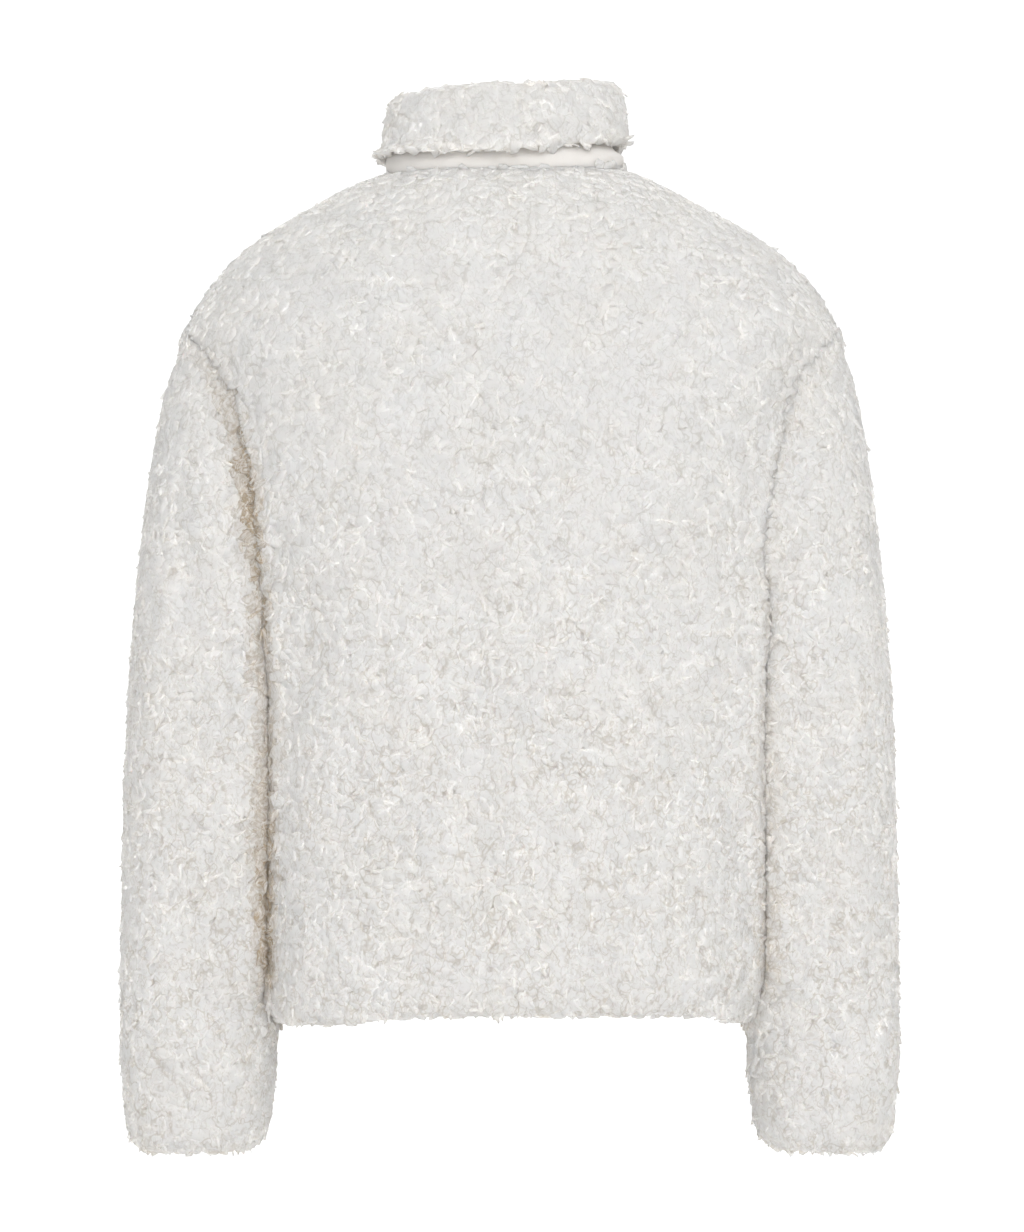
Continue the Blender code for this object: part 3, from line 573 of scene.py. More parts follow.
# tufts: matted flakes of curled wool, domed on top, that overlap down the cloth
tuftShape = {
    "sides": 7,
    "wide": 0.0138,
    "long": 0.0094,
    "thick": 0.0014,
    "lift": 0.0003,  # how far its rim stands off the bed
    "root": 0.0018,  # how deep it is rooted
    "uneven": 0.34,
    "lumpy": 0.26,
    # its rim and the edge of its top: how far in, how high, how pale against the painted root shade
    "rings": ((1.0, -0.15, 0.42), (0.80, 0.72, 0.80)),
    "sideUneven": 0.20,
    "ringUneven": 0.08,
    "toneUneven": 0.08,
    "top": (0.85, 1.10),
    "rootBack": -0.10,
    "kinds": 10,
    "seed": 5,
}
lockShape = {
    "sides": 3,
    "rings": 3,
    "wide": 0.0050,
    "long": 0.0082,
    "thick": 0.0028,
    "curl": 0.0034,
    "tip": 0.0010,
    "lift": 0.0006,
    "longs": (0.80, 1.20),  # how much its length, its curl and its tip's height differ
    "curls": (0.5, 1.3),
    "tips": (0.2, 1.4),
    "widths": (0.75, 1.10, -1.20),
    "flat": 0.55,
    "thinner": 0.4,
    # its painted root shade: how pale its root is, and how much paler its tip
    "tones": (0.55, 0.40),
    "kinds": 8,
    "seed": 9,
}


def skin(form, rings):
    # faces from ring to ring and over both ends
    form.faces.new(tuple(reversed(rings[0])))
    form.faces.new(tuple(rings[-1]))
    for low, high in zip(rings, rings[1:]):
        for k in range(len(low)):
            other = (k + 1) % len(low)
            form.faces.new((low[k], low[other], high[other], high[k]))


def keptThing(form, name, smooth=True):
    # an object of its own that is copied many times
    bmesh.ops.recalc_face_normals(form, faces=form.faces)
    return bpy.data.objects.new(name, plainMesh(form, name, smooth))


def makeTuft(index, chance):
    # a flake: its middle is at the origin, it lies along +Y and its dome faces +Z
    form = bmesh.new()
    along = form.verts.layers.float.new("along")
    sides, thick, lift = tuftShape["sides"], tuftShape["thick"], tuftShape["lift"]

    def near(fact):
        return chance.uniform(-tuftShape[fact], tuftShape[fact])

    start = chance.uniform(0.0, 1.0)
    rings = ([], [])
    for side in range(sides):
        angle = math.tau * (side + start + near("sideUneven")) / sides
        reach = 1.0 + near("uneven")
        x = tuftShape["wide"] / 2 * reach * math.cos(angle)
        y = tuftShape["long"] / 2 * reach * math.sin(angle)
        for ring, (inward, high, tone) in enumerate(tuftShape["rings"]):
            inward *= 1.0 + near("ringUneven") * ring
            z = lift + thick * (high + near("lumpy"))
            v = form.verts.new((x * inward, y * inward, z))
            v[along] = tone + near("toneUneven")
            rings[ring].append(v)
    top = form.verts.new((0.0, 0.0, lift + thick * chance.uniform(*tuftShape["top"])))
    top[along] = 1.0
    root = form.verts.new((0.0, tuftShape["rootBack"] * tuftShape["long"], -tuftShape["root"]))
    root[along] = 0.0
    low, high = rings
    for side in range(sides):
        other = (side + 1) % sides
        form.faces.new((low[side], low[other], high[other], high[side]))
        form.faces.new((high[side], high[other], top))
        form.faces.new((low[other], low[side], root))
    return keptThing(form, f"tuft_{index}")


def makeLock(index, chance):
    # a curl that narrows to its tip: rooted at the origin, it lies along +Y, bent aside and up at its end
    form = bmesh.new()
    along = form.verts.layers.float.new("along")
    long = lockShape["long"] * chance.uniform(*lockShape["longs"])
    aside = lockShape["curl"] * chance.choice((-1.0, 1.0)) * chance.uniform(*lockShape["curls"])
    rise = lockShape["tip"] * chance.uniform(*lockShape["tips"])
    start, more, less = lockShape["widths"]
    tone, paler = lockShape["tones"]
    rings = []
    for ring in range(lockShape["rings"]):
        share = ring / (lockShape["rings"] - 1)
        width = lockShape["wide"] / 2 * (start + more * share + less * share * share)
        thick = lockShape["thick"] * lockShape["flat"] * (1.0 - lockShape["thinner"] * share)
        place = Vector((aside * share * share, long * share, lockShape["lift"] + rise * share * share))
        here = []
        for side in range(lockShape["sides"]):
            angle = math.tau * side / lockShape["sides"] + math.pi / 2
            v = form.verts.new(place + Vector((width * math.cos(angle), 0.0, thick * math.sin(angle))))
            v[along] = tone + paler * share
            here.append(v)
        rings.append(here)
    skin(form, rings)
    return keptThing(form, f"lock_{index}")


def kindsOf(name, shape, make):
    kinds, chance = bpy.data.collections.new(name), random.Random(shape["seed"])
    for index in range(shape["kinds"]):
        kinds.objects.link(make(index, chance))
    return kinds


tuftKinds = kindsOf("tuft_kinds", tuftShape, makeTuft)
lockKinds = kindsOf("lock_kinds", lockShape, makeLock)
print("kinds of tufts and locks ready")

# a flake's and a lock's spacing and size, and how they are laid: the inputs of the wool's tree
pileFacts = {
    "Bed": 0.0014,  # height of the short matted wool under the flakes
    "Flake Spacing": 0.0060,
    "Flake Size": 1.16,
    "Lock Spacing": 0.0064,
    "Lock Size": 1.0,
    "Uneven": 0.32,  # sizes differ by this share
    "Wander": 1.2,  # radians that a flake or lock turns from its lie
    "Pitch": 0.09,
    "Tilt": 0.08,
    "Crumple": 0.0026,
    "Crumple Size": 240.0,
}


def namedValue(tree, name, kind="FLOAT"):
    node = addNode(tree, "GeometryNodeInputNamedAttribute", {"Name": name}, data_type=kind)
    return node.outputs["Attribute"]


def randomFloat(tree, seed, low, high, offset):
    fed = {2: low, 3: high, "Seed": mathNode(tree, "ADD", seed, offset)}
    return addNode(tree, "FunctionNodeRandomValue", fed, data_type="FLOAT").outputs[1]


def vectorNode(tree, operation, fed):
    return addNode(tree, "ShaderNodeVectorMath", fed, operation=operation).outputs["Vector"]


def turnedTo(tree, outward, along):
    # Z points outward, and Y as far along as that lets it
    kind = "FunctionNodeAlignRotationToVector"
    upright = addNode(tree, kind, {"Vector": outward}, axis="Z", pivot_axis="AUTO")
    fed = {"Rotation": upright.outputs["Rotation"], "Vector": along}
    return addNode(tree, kind, fed, axis="Y", pivot_axis="Z").outputs["Rotation"]


def newTree(name, inputs):
    # a tree whose geometry comes with these named inputs
    tree = bpy.data.node_groups.new(name, "GeometryNodeTree")
    tree.interface.new_socket("Geometry", in_out="INPUT", socket_type="NodeSocketGeometry")
    for key, kind in inputs.items():
        tree.interface.new_socket(key, in_out="INPUT", socket_type="NodeSocket" + kind)
    tree.interface.new_socket("Geometry", in_out="OUTPUT", socket_type="NodeSocketGeometry")
    return tree, {socket.name: socket for socket in addNode(tree, "NodeGroupInput").outputs}


def endTree(tree, geometry, material):
    real = addNode(tree, "GeometryNodeRealizeInstances", {"Geometry": geometry})
    fed = {"Geometry": real.outputs["Geometry"], "Material": material}
    paint = addNode(tree, "GeometryNodeSetMaterial", fed)
    addNode(tree, "NodeGroupOutput", {"Geometry": paint.outputs["Geometry"]})
    return tree


def grow(piece, tree, values):
    # the tree's result becomes the piece's own mesh
    grown = piece.modifiers.new("grown", "NODES")
    grown.node_group = tree
    sockets = {s.name: s.identifier for s in tree.interface.items_tree if s.in_out == "INPUT"}
    for key, value in values.items():
        grown[sockets[key]] = value
    settle(piece)
    print(piece.name, "has", sum(len(p.vertices) - 2 for p in piece.data.polygons), "triangles")


scatterMost = 200000.0  # places on a square metre, before they are kept apart


def scatterTree(tree, given, bed, kinds, what, cover, offset):
    # copies of the kinds, laid over the bed along its lie
    seed = mathNode(tree, "ADD", given["Seed"], offset)
    fed = {
        "Mesh": bed,
        "Distance Min": given[what + " Spacing"],
        "Density Max": scatterMost,
        "Density Factor": namedValue(tree, cover),
        "Seed": seed,
    }
    spread = addNode(tree, "GeometryNodeDistributePointsOnFaces", fed, distribute_method="POISSON")
    laid = turnedTo(tree, spread.outputs["Normal"], namedValue(tree, "lie", "FLOAT_VECTOR"))
    lessWander = mathNode(tree, "MULTIPLY", given["Wander"], -1.0)
    lessTilt = mathNode(tree, "MULTIPLY", given["Tilt"], -1.0)
    nod = randomFloat(tree, seed, lessTilt, given["Tilt"], 11.0)
    angles = addNode(tree, "ShaderNodeCombineXYZ", {
        0: mathNode(tree, "ADD", nod, given["Pitch"]),
        1: randomFloat(tree, seed, lessTilt, given["Tilt"], 12.0),
        2: randomFloat(tree, seed, lessWander, given["Wander"], 13.0),
    })
    turn = addNode(tree, "FunctionNodeEulerToRotation", {"Euler": angles.outputs[0]})
    fed = {"Rotation": laid, "Rotate By": turn.outputs["Rotation"]}
    turned = addNode(tree, "FunctionNodeRotateRotation", fed, rotation_space="LOCAL")
    small = mathNode(tree, "SUBTRACT", 1.0, given["Uneven"])
    large = mathNode(tree, "ADD", 1.0, given["Uneven"])
    whole = mathNode(tree, "MULTIPLY", given[what + " Size"], namedValue(tree, "tall"))
    sizes = [randomFloat(tree, seed, small, large, 21.0 + axis) for axis in range(3)]
    scale = addNode(tree, "ShaderNodeCombineXYZ", {
        axis: mathNode(tree, "MULTIPLY", size, whole) for axis, size in enumerate(sizes)
    })
    fed = {"Collection": kinds, "Separate Children": True, "Reset Children": True}
    source = addNode(tree, "GeometryNodeCollectionInfo", fed, transform_space="ORIGINAL")
    fed = {4: 0, 5: len(kinds.objects) - 1, "Seed": seed}
    pick = addNode(tree, "FunctionNodeRandomValue", fed, data_type="INT")
    place = addNode(tree, "GeometryNodeInstanceOnPoints", {
        "Points": spread.outputs["Points"],
        "Instance": source.outputs[0],
        "Pick Instance": True,
        "Instance Index": pick.outputs[2],
        "Rotation": turned.outputs["Rotation"],
        "Scale": scale.outputs[0],
    })
    tone = randomFloat(tree, seed, 0.0, 1.0, 31.0)
    fed = {"Geometry": place.outputs["Instances"], "Name": "tone", "Value": tone}
    kept = addNode(tree, "GeometryNodeStoreNamedAttribute", fed, data_type="FLOAT", domain="INSTANCE")
    return kept.outputs["Geometry"]


def movedBy(tree, geometry, offset):
    fed = {"Geometry": geometry, "Offset": offset}
    return addNode(tree, "GeometryNodeSetPosition", fed).outputs["Geometry"]


def joined(tree, parts):
    both = addNode(tree, "GeometryNodeJoinGeometry")
    for part in parts:
        feed(both, {"Geometry": part})
    return both.outputs["Geometry"]


def pileTree():
    tree, given = newTree("pile_of_tufts", {**{key: "Float" for key in pileFacts}, "Seed": "Int"})
    rise = mathNode(tree, "MULTIPLY", namedValue(tree, "bed"), given["Bed"])
    rise = mathNode(tree, "ADD", rise, namedValue(tree, "fill"))
    normal = addNode(tree, "GeometryNodeInputNormal").outputs["Normal"]
    bed = movedBy(tree, given["Geometry"], vectorNode(tree, "SCALE", {0: normal, "Scale": rise}))
    tufts = joined(tree, [
        scatterTree(tree, given, bed, tuftKinds, "Flake", "cover", 0.0),
        scatterTree(tree, given, bed, lockKinds, "Lock", "locks", 100.0),
    ])
    real = addNode(tree, "GeometryNodeRealizeInstances", {"Geometry": tufts})
    fed = {"Scale": given["Crumple Size"], "Detail": 1.0}
    uneven = addNode(tree, "ShaderNodeTexNoise", fed, noise_dimensions="3D").outputs["Color"]
    centred = vectorNode(tree, "SUBTRACT", {0: uneven, 1: (0.5, 0.5, 0.5)})
    crumple = vectorNode(tree, "SCALE", {0: centred, "Scale": given["Crumple"]})
    whole = joined(tree, [movedBy(tree, real.outputs["Geometry"], crumple), bed])
    smooth = addNode(tree, "GeometryNodeSetShadeSmooth", {"Geometry": whole})
    return endTree(tree, smooth.outputs["Geometry"], curls)


pile = pileTree()

# where the wool is short or thick; a pair says where a change starts and how far it takes
woolFacts = {
    "swirl": 0.9,
    "swirlSize": 0.045,
    "swirlSeed": 3,
    "tall": {"body": 1.0, "sleeve": 0.94, "collar": 1.0},
    "atRim": {"body": 0.45, "sleeve": 0.66, "collar": 0.85},  # it is shorter at a free edge
    "rim": (0.0, 0.014),
    "shoulder": {"tall": 0.78, "across": (0.175, 0.03), "up": (-0.17, 0.04)},
    "neck": {"tall": 0.72, "up": (-0.085, 0.06)},
    "collarEnds": {"tall": 0.60, "across": (0.068, 0.010), "up": (0.012, -0.010)},
    "bed": {"body": 1.0, "sleeve": 0.25, "collar": 1.0},
    "bedTone": 0.60,  # its colour, between the painted root shade and a tip's
    "locks": (0.30, 1.0),  # how many there are at the top and lower down
    "locksDown": (-0.12, -0.25),
    "collarLocks": 0.48,
    "locksOffRim": (0.004, 0.008),
    "overSeam": {"near": (0.014, -0.005), "up": (-0.21, 0.03)},  # locks hang over the armhole's seam
    "sparser": {"back": 1.056},  # the largest piece has its flakes a little further apart
}
# the body's wool beside the pull, short enough for it to turn
pullRoom = {"beside": (0.020, -0.006), "up": (-0.112, 0.01), "front": -0.05, "shorter": 0.45}
# how the wool fills up towards the other piece, first low down and then at the armhole
bridge = {
    "up": (-0.30, 0.12),
    "fill": (0.0095, 0.0085),
    "reach": (0.028, 0.018),
    "turn": 0.30,  # only where the two surfaces turn from each other
    "head": {"less": 0.45, "across": (0.200, 0.02), "up": (-0.20, 0.03)},  # and less over the sleeve's head
    "pressedLess": 0.85,
}
# an edge that meets another piece runs on under that piece's wool
edgeFacts = {
    "meets": 0.0045,
    "overlap": 0.0015,
    "ragged": 0.0055,  # the body's runs unevenly further over the sleeve's head
    "raggedSize": 0.010,
    "raggedUp": (-0.21, 0.03),
    "neck": -0.075,  # above this the body's wool closes against the collar's stand
    "neckFrom": 0.010,
    "neckFacing": 0.25,
    "toCollar": 0.0035,
}
# how far the painted groove shade reaches from the other piece
grooveShadeReach = {"from": 0.003, "sleeve": 0.018, "body": 0.013, "collar": 0.013}
# how strong the painted shade is in the groove between the body and each sleeve: height, left, right
grooveShadeByHeight = (
    (-0.120, 0.00, 0.00),
    (-0.165, 0.50, 0.20),
    (-0.210, 1.00, 0.25),
    (-0.250, 1.60, 0.20),
    (-0.290, 1.40, 0.25),
    (-0.330, 0.75, 0.20),
    (-0.380, 0.55, 0.20),
    (-0.460, 0.80, 0.25),
    (-0.510, 1.10, 0.30),
    (-0.560, 1.20, 0.50),
    (-0.620, 0.80, 0.60),
)


def between(pair, share):
    return pair[0] + (pair[1] - pair[0]) * share


# how strong the painted groove shade is at this height, on this side
def grooveShadeAt(p):
    column = 1 if p.x > 0.0 else 2
    heights = [-row[0] for row in grooveShadeByHeight]
    return float(np.interp(-p.z, heights, [row[column] for row in grooveShadeByHeight]))


def treeOf(places):
    tree = kdtree.KDTree(len(places))
    for k, place in enumerate(places):
        tree.insert(place, k)
    tree.balance()
    return tree


def nearestFinder(names):
    # how far a place is from these pieces' furry faces, and how far they turn from its own normal
    points = []
    for name in names:
        mesh = panels[name].data
        furry = {k for face in mesh.polygons if face.material_index == 0 for k in face.vertices}
        points += [(mesh.vertices[k].co.copy(), mesh.vertices[k].normal.copy()) for k in sorted(furry)]
    tree = treeOf([p for p, _ in points])

    def find(place, normal):
        _, k, away = tree.find(place)
        return away, 1.0 - points[k][1].dot(normal)

    return find


bodyNames, sleeveNames = ("back", "front_left", "front_right"), ("sleeve_left", "sleeve_right")
toSleeves, toBody = nearestFinder(sleeveNames), nearestFinder(bodyNames)

# below the armholes the wool of body and sleeves is pressed flat together, down to one narrow line
pressed = {
    "from": -0.285,
    "full": 0.050,
    "hem": -0.603,
    "hemTo": 0.035,
    "slope": {"body": 0.56, "sleeve": 0.0},
    "step": {"body": 0.005, "sleeve": -0.001},  # the body's edge stands a little in front of the sleeve's
    "reach": {"body": 0.040, "sleeve": 0.032},
    "fade": 0.018,
    "drop": {1.0: 0.0085, -1.0: 0.0068},  # how deep the line is, left and right
    "wide": {"body": 0.0032, "sleeve": 0.0055},
    # how far the painted groove shade spreads from the line, on each piece
    "warm": {"body": 0.0040, "sleeve": 0.0125},
    "inward": {1.0: 0.0035, -1.0: -0.0030},  # the line lies this far inside the body's widest place
    "between": {"body": 0.0, "sleeve": 0.004},  # from there to the sleeve
    "lean": {("body", 1.0): 0.0, ("sleeve", 1.0): 0.0100,  # how far each bulges towards the other
             ("body", -1.0): 0.0055, ("sleeve", -1.0): 0.0035},
    "leanTo": 0.012,
    "heights": (-0.60, -0.24, 0.01),  # where the pieces are measured, and how far up and down
    "band": 0.008,
    "deepest": 0.018,  # nearer to the middle of the side than this the wool stays as it is
}


def greatestAt(names, axis, sign):
    # how far these pieces reach that way at each height
    points = np.array([tuple(v.co) for name in names for v in panels[name].data.vertices])
    heights = np.arange(*pressed["heights"])
    reach = [(sign * points[np.abs(points[:, 2] - z) < pressed["band"], axis]).max() for z in heights]
    return lambda z: float(np.interp(z, heights, reach))


sideLine = {side: greatestAt(bodyNames, 0, side) for side in (1.0, -1.0)}
sleeveDepth = {
    (side, face): greatestAt((name,), 1, face)
    for name, side in (("sleeve_left", 1.0), ("sleeve_right", -1.0)) for face in (1.0, -1.0)
}


def pressFlat(p, kind):
    # how far the wool here is filled out, how near the line is, for its painted shade, and how much this
    # counts
    side, face = math.copysign(1.0, p.x), math.copysign(1.0, p.y)
    share = ramp(p.z, pressed["from"], -pressed["full"]) * ramp(p.z, pressed["hem"], pressed["hemTo"])
    edge, outward = sideLine[side](p.z), 1.0 if kind == "body" else -1.0
    inside = max((edge - side * p.x) * outward - pressed["between"][kind], 0.0)
    lean = pressed["lean"][kind, side] * math.exp(-(inside / pressed["leanTo"]) ** 2) * share * outward
    away = max((edge - pressed["inward"][side] - side * p.x - lean) * outward, 0.0)
    level = sleeveDepth[side, face](p.z) + pressed["step"][kind] + pressed["slope"][kind] * away
    level -= pressed["drop"][side] * math.exp(-(away / pressed["wide"][kind]) ** 2)
    out = max(level - abs(p.y), 0.0) * share * (1.0 - ramp(away, pressed["reach"][kind], pressed["fade"]))
    out *= ramp(abs(p.y), pressed["deepest"], pressed["deepest"])
    return Vector((side * lean, face * out, 0.0)), math.exp(-(away / pressed["warm"][kind]) ** 3), share


def lieAt(name, p, n):
    # down the cloth, and up it on the side of the fall that faces the stand
    x, y = collarFit["axis"]
    hidden = name == "collar" and n.x * (p.x - x) + n.y * (p.y - y) <= 0.0
    lie = Vector((0.0, 0.0, 1.0 if hidden else -1.0))
    lie += noise.noise_vector(p / woolFacts["swirlSize"]) * woolFacts["swirl"]
    lie -= n * lie.dot(n)
    return lie.normalized() if lie.length > 1e-6 else Vector((0.0, 0.0, -1.0))


def fillAt(p, near, turned):
    high = ramp(p.z, *bridge["up"])
    close = 1.0 - ramp(near, 0.0, between(bridge["reach"], high))
    fill = between(bridge["fill"], high) * close * ramp(turned, 0.0, bridge["turn"])
    head = bridge["head"]
    return fill * (1.0 - head["less"] * ramp(abs(p.x), *head["across"]) * ramp(p.z, *head["up"]))


def shorterBy(place, share):
    return 1.0 - (1.0 - place["tall"]) * share


def tallAt(p, kind, fromRim):
    tall = between((woolFacts["atRim"][kind], 1.0), ramp(fromRim, *woolFacts["rim"]))
    tall *= woolFacts["tall"][kind]
    place = woolFacts["shoulder"]
    tall *= shorterBy(place, ramp(abs(p.x), *place["across"]) * ramp(p.z, *place["up"]))
    if kind != "collar":
        place = woolFacts["neck"]
        return tall * shorterBy(place, ramp(p.z, *place["up"]))
    place = woolFacts["collarEnds"]
    across = ramp(abs(p.x - collarFit["axis"][0]), *place["across"])
    return tall * shorterBy(place, across * ramp(p.z, *place["up"]))


def locksAt(p, kind, near, fromRim):
    if kind == "collar":
        return woolFacts["collarLocks"]
    seam = woolFacts["overSeam"]
    locks = between(woolFacts["locks"], ramp(p.z, *woolFacts["locksDown"]))
    locks = max(locks, ramp(near, *seam["near"]) * ramp(p.z, *seam["up"]))
    return locks * (ramp(fromRim, *woolFacts["locksOffRim"]) if kind == "body" else 1.0)


def onwards(v, p, n, further):
    # from the cloth over its own edge
    beyond = Vector()
    for edge in v.link_edges:
        beyond += p - edge.other_vert(v).co
    beyond -= n * beyond.dot(n)
    return beyond.normalized() * further if beyond.length > 1e-6 else Vector()


def growPile(name, seed):
    # the panel's furry faces, covered in wool as one plain mesh
    form = bmesh.new()
    form.from_mesh(panels[name].data)
    lowest = min(v.co.z for v in form.verts)
    rims = [v for v in form.verts if len({f.material_index for f in v.link_faces}) > 1]
    bmesh.ops.delete(form, geom=[f for f in form.faces if f.material_index != 0], context="FACES")
    form.normal_update()
    rims = [v for v in rims if v.is_valid]
    kind = "body" if name in bodyNames else "sleeve" if name in sleeveNames else "collar"
    toOther = toSleeves if kind == "body" else toBody
    toRest = nearestFinder([other for other in bodyNames + sleeveNames if other != name])

    def meets(p, n):
        return kind != "collar" and toRest(p, n)[0] <= edgeFacts["meets"]

    edges = treeOf([v.co.copy() for v in rims if not meets(v.co, v.normal)])
    floats = form.verts.layers.float
    cover, tall, bed, fill = (floats.new(key) for key in ("cover", "tall", "bed", "fill"))
    locks, deep, along = (floats.new(key) for key in ("locks", "deep", "along"))
    lying = form.verts.layers.float_vector.new("lie")
    moves, edging = {}, set(rims)
    for v in form.verts:
        p, n = v.co, v.normal
        fromRim = edges.find(p)[2]
        near, turned = 1.0, 0.0
        if kind != "collar":
            fromRim = min(fromRim, p.z - lowest)
            near, turned = toOther(p, n)
        v[lying] = lieAt(name, p, n)
        v[cover], v[bed], v[along] = 1.0, woolFacts["bed"][kind], woolFacts["bedTone"]
        v[fill] = fillAt(p, near, turned)
        # painted shade in the groove next to the other piece
        v[deep] = grooveShadeAt(p) * (1.0 - ramp(near, grooveShadeReach["from"], grooveShadeReach[kind]))
        v[tall], v[locks] = tallAt(p, kind, fromRim), locksAt(p, kind, near, fromRim)
        if kind != "collar":
            out, close, share = pressFlat(p, kind)
            moves[v] = p + out
            v[fill] *= 1.0 - bridge["pressedLess"] * share
            # where the wool is pressed flat, the painted shade gathers along the line
            v[deep] += (grooveShadeAt(p) * close - v[deep]) * share
        if kind == "body" and p.y < pullRoom["front"]:
            byPull = ramp(abs(p.x), *pullRoom["beside"]) * ramp(p.z, *pullRoom["up"])
            v[tall] *= 1.0 - pullRoom["shorter"] * byPull
            v[locks] *= 1.0 - byPull
        if v not in edging:
            continue
        if (kind == "body" and p.z > edgeFacts["neck"] and abs(p.x) > edgeFacts["neckFrom"]
                and n.z > edgeFacts["neckFacing"]):
            moves[v] += onwards(v, p, n, edgeFacts["toCollar"])
        elif meets(p, n):
            further = edgeFacts["overlap"]
            if kind == "body":
                uneven = 0.5 + noise.noise(p / edgeFacts["raggedSize"])
                further += edgeFacts["ragged"] * ramp(p.z, *edgeFacts["raggedUp"]) * uneven
            moves[v] += onwards(v, p, n, further)
        else:
            v[bed] = v[fill] = 0.0
    for v, place in moves.items():
        v.co = place
    piece = newPiece(name + "_pile", plainMesh(form, name + "_pile"))
    sparser = woolFacts["sparser"].get(name, 1.0)
    values = {key: value * (sparser if "Spacing" in key else 1.0) for key, value in pileFacts.items()}
    grow(piece, pile, {**values, "Seed": seed})
    return piece


noise.seed_set(woolFacts["swirlSeed"])  # without it the wool would lie another way in each run
pileSeeds = {"back": 1, "front_left": 3, "front_right": 4, "sleeve_left": 5, "sleeve_right": 6, "collar": 7}
piles = {name: growPile(name, seed) for name, seed in pileSeeds.items()}
for kinds in (tuftKinds, lockKinds):
    for thing in list(kinds.objects):
        bpy.data.objects.remove(thing)
    bpy.data.collections.remove(kinds)

# zip: woven tapes, metal teeth on their beads, a slider with its pull, an end box
zipLook = {
    "tape": (0.760, 0.725, 0.660),
    "tapeShade": (0.560, 0.520, 0.450),
    "pick": 0.00085,  # height of one turn of the weave
    "column": 0.0016,  # half the width of one column of its herringbone
    "tapeRelief": 0.00012,
    "thread": (0.800, 0.775, 0.725),
    "threadTwist": 900.0,
    "threadRelief": 0.0001,
    "metal": (0.640, 0.620, 0.590),
    "worn": (0.780, 0.765, 0.735),
    "brush": 5200.0,
    "brushDrawn": 0.06,
    "brushRelief": 0.00004,
    "brushRoughness": (0.24, 0.42),
}


def tapeMaterial():
    # herringbone: slanting picks that turn back at each column
    made, tree, shader = newMaterial("zip_tape_weave")
    where = placeOn(tree)
    parts = addNode(tree, "ShaderNodeSeparateXYZ", {0: where})
    slant = mathNode(tree, "PINGPONG", parts.outputs["X"], zipLook["column"])
    height = mathNode(tree, "ADD", parts.outputs["Z"], slant)
    pick = mathNode(tree, "SINE", mathNode(tree, "MULTIPLY", height, math.tau / zipLook["pick"]))
    fibres = noiseNode(tree, where, 1800.0, 2.0, 0.6)
    shade = rangeNode(tree, pick, -1.0, 0.3, 0.65, 0.0)
    patches = rangeNode(tree, noiseNode(tree, where, 60.0, 3.0, 0.6), 0.4, 0.7, 0.0, 0.25)
    relief = mathNode(tree, "ADD", pick, mathNode(tree, "MULTIPLY", fibres, 1.2))
    colour = mixColours(tree, shade, zipLook["tape"], zipLook["tapeShade"])
    feed(shader, {
        "Base Color": mixColours(tree, patches, colour, zipLook["thread"]),
        "Normal": bumpNode(tree, relief, 0.6, zipLook["tapeRelief"]),
        "Roughness": 0.78,
        "Sheen Weight": 0.1,
        "Specular IOR Level": 0.3,
    })
    return made


def threadMaterial():
    made, tree, shader = newMaterial("zip_thread")
    fed = {"Vector": placeOn(tree), "Scale": zipLook["threadTwist"]}
    wave = addNode(tree, "ShaderNodeTexWave", fed, wave_type="BANDS", bands_direction="DIAGONAL")
    twist = wave.outputs["Fac"]
    feed(shader, {
        "Base Color": mixColours(tree, twist, zipLook["tape"], zipLook["thread"]),
        "Normal": bumpNode(tree, twist, 0.5, zipLook["threadRelief"]),
        "Roughness": 0.6,
    })
    return made


def metalMaterial():
    # nickel, finely brushed up the zip, brighter where it has been rubbed
    made, tree, shader = newMaterial("zip_nickel")
    where = placeOn(tree)
    brushed = noiseNode(tree, drawnUp(tree, where, zipLook["brushDrawn"]), zipLook["brush"], 2.0, 0.6)
    rubbed = rangeNode(tree, noiseNode(tree, where, 420.0, 3.0, 0.6), 0.42, 0.68)
    feed(shader, {
        "Base Color": mixColours(tree, rubbed, zipLook["metal"], zipLook["worn"]),
        "Roughness": rangeNode(tree, brushed, 0.3, 0.7, *zipLook["brushRoughness"]),
        "Normal": bumpNode(tree, brushed, 0.25, zipLook["brushRelief"]),
        "Metallic": 1.0,
    })
    return made


zipTape, zipThread, nickel = tapeMaterial(), threadMaterial(), metalMaterial()

# a tooth: x is the way to the other tape, y up the chain and z outwards
toothShape = {
    "outline": (  # how far it reaches, half its length there
        (-0.0018, 0.00050), (-0.0012, 0.00062), (0.0010, 0.00056), (0.0015, 0.00036),
        (0.0020, 0.00048), (0.0023, 0.00034),
    ),
    "front": 0.00025,
    "back": -0.00245,
    "round": 0.00018,
    "frontWide": 0.92,
    "frontLong": 0.72,
    "apart": 0.0024,
}
# a stitch, with its rings as parts of half its length
stitchShape = {
    "long": 0.0025,
    "thick": 0.00042,
    "sides": 5,
    "rings": (-1.0, -0.6, 0.0, 0.6, 1.0),
    "arch": (0.55, -0.85),  # its middle's height, and how far its ends dip
    "thinner": 0.25,
    "apart": 0.0032,
}
rowFacts = {
    "low": -0.5905,
    "high": -0.0690,
    "places": 90,
    "stitchIn": 0.0128,
    "bead": 0.0032,
    "search": (0.008, 0.00005),  # how far in the tape's edge is looked for, and in what steps
    "inFront": -0.3,
}


def makeTooth(side):
    form = bmesh.new()
    reach = [(side * x, y) for x, y in toothShape["outline"]]
    around = reach + [(x, -y) for x, y in reversed(reach)]
    front = toothShape["front"]
    levels = (
        (toothShape["back"], 1.0, 1.0),
        (front - toothShape["round"], 1.0, 1.0),
        (front, toothShape["frontWide"], toothShape["frontLong"]),
    )
    skin(form, [[form.verts.new((x * wide, y * long, z)) for x, y in around] for z, wide, long in levels])
    return keptThing(form, "tooth", smooth=False)


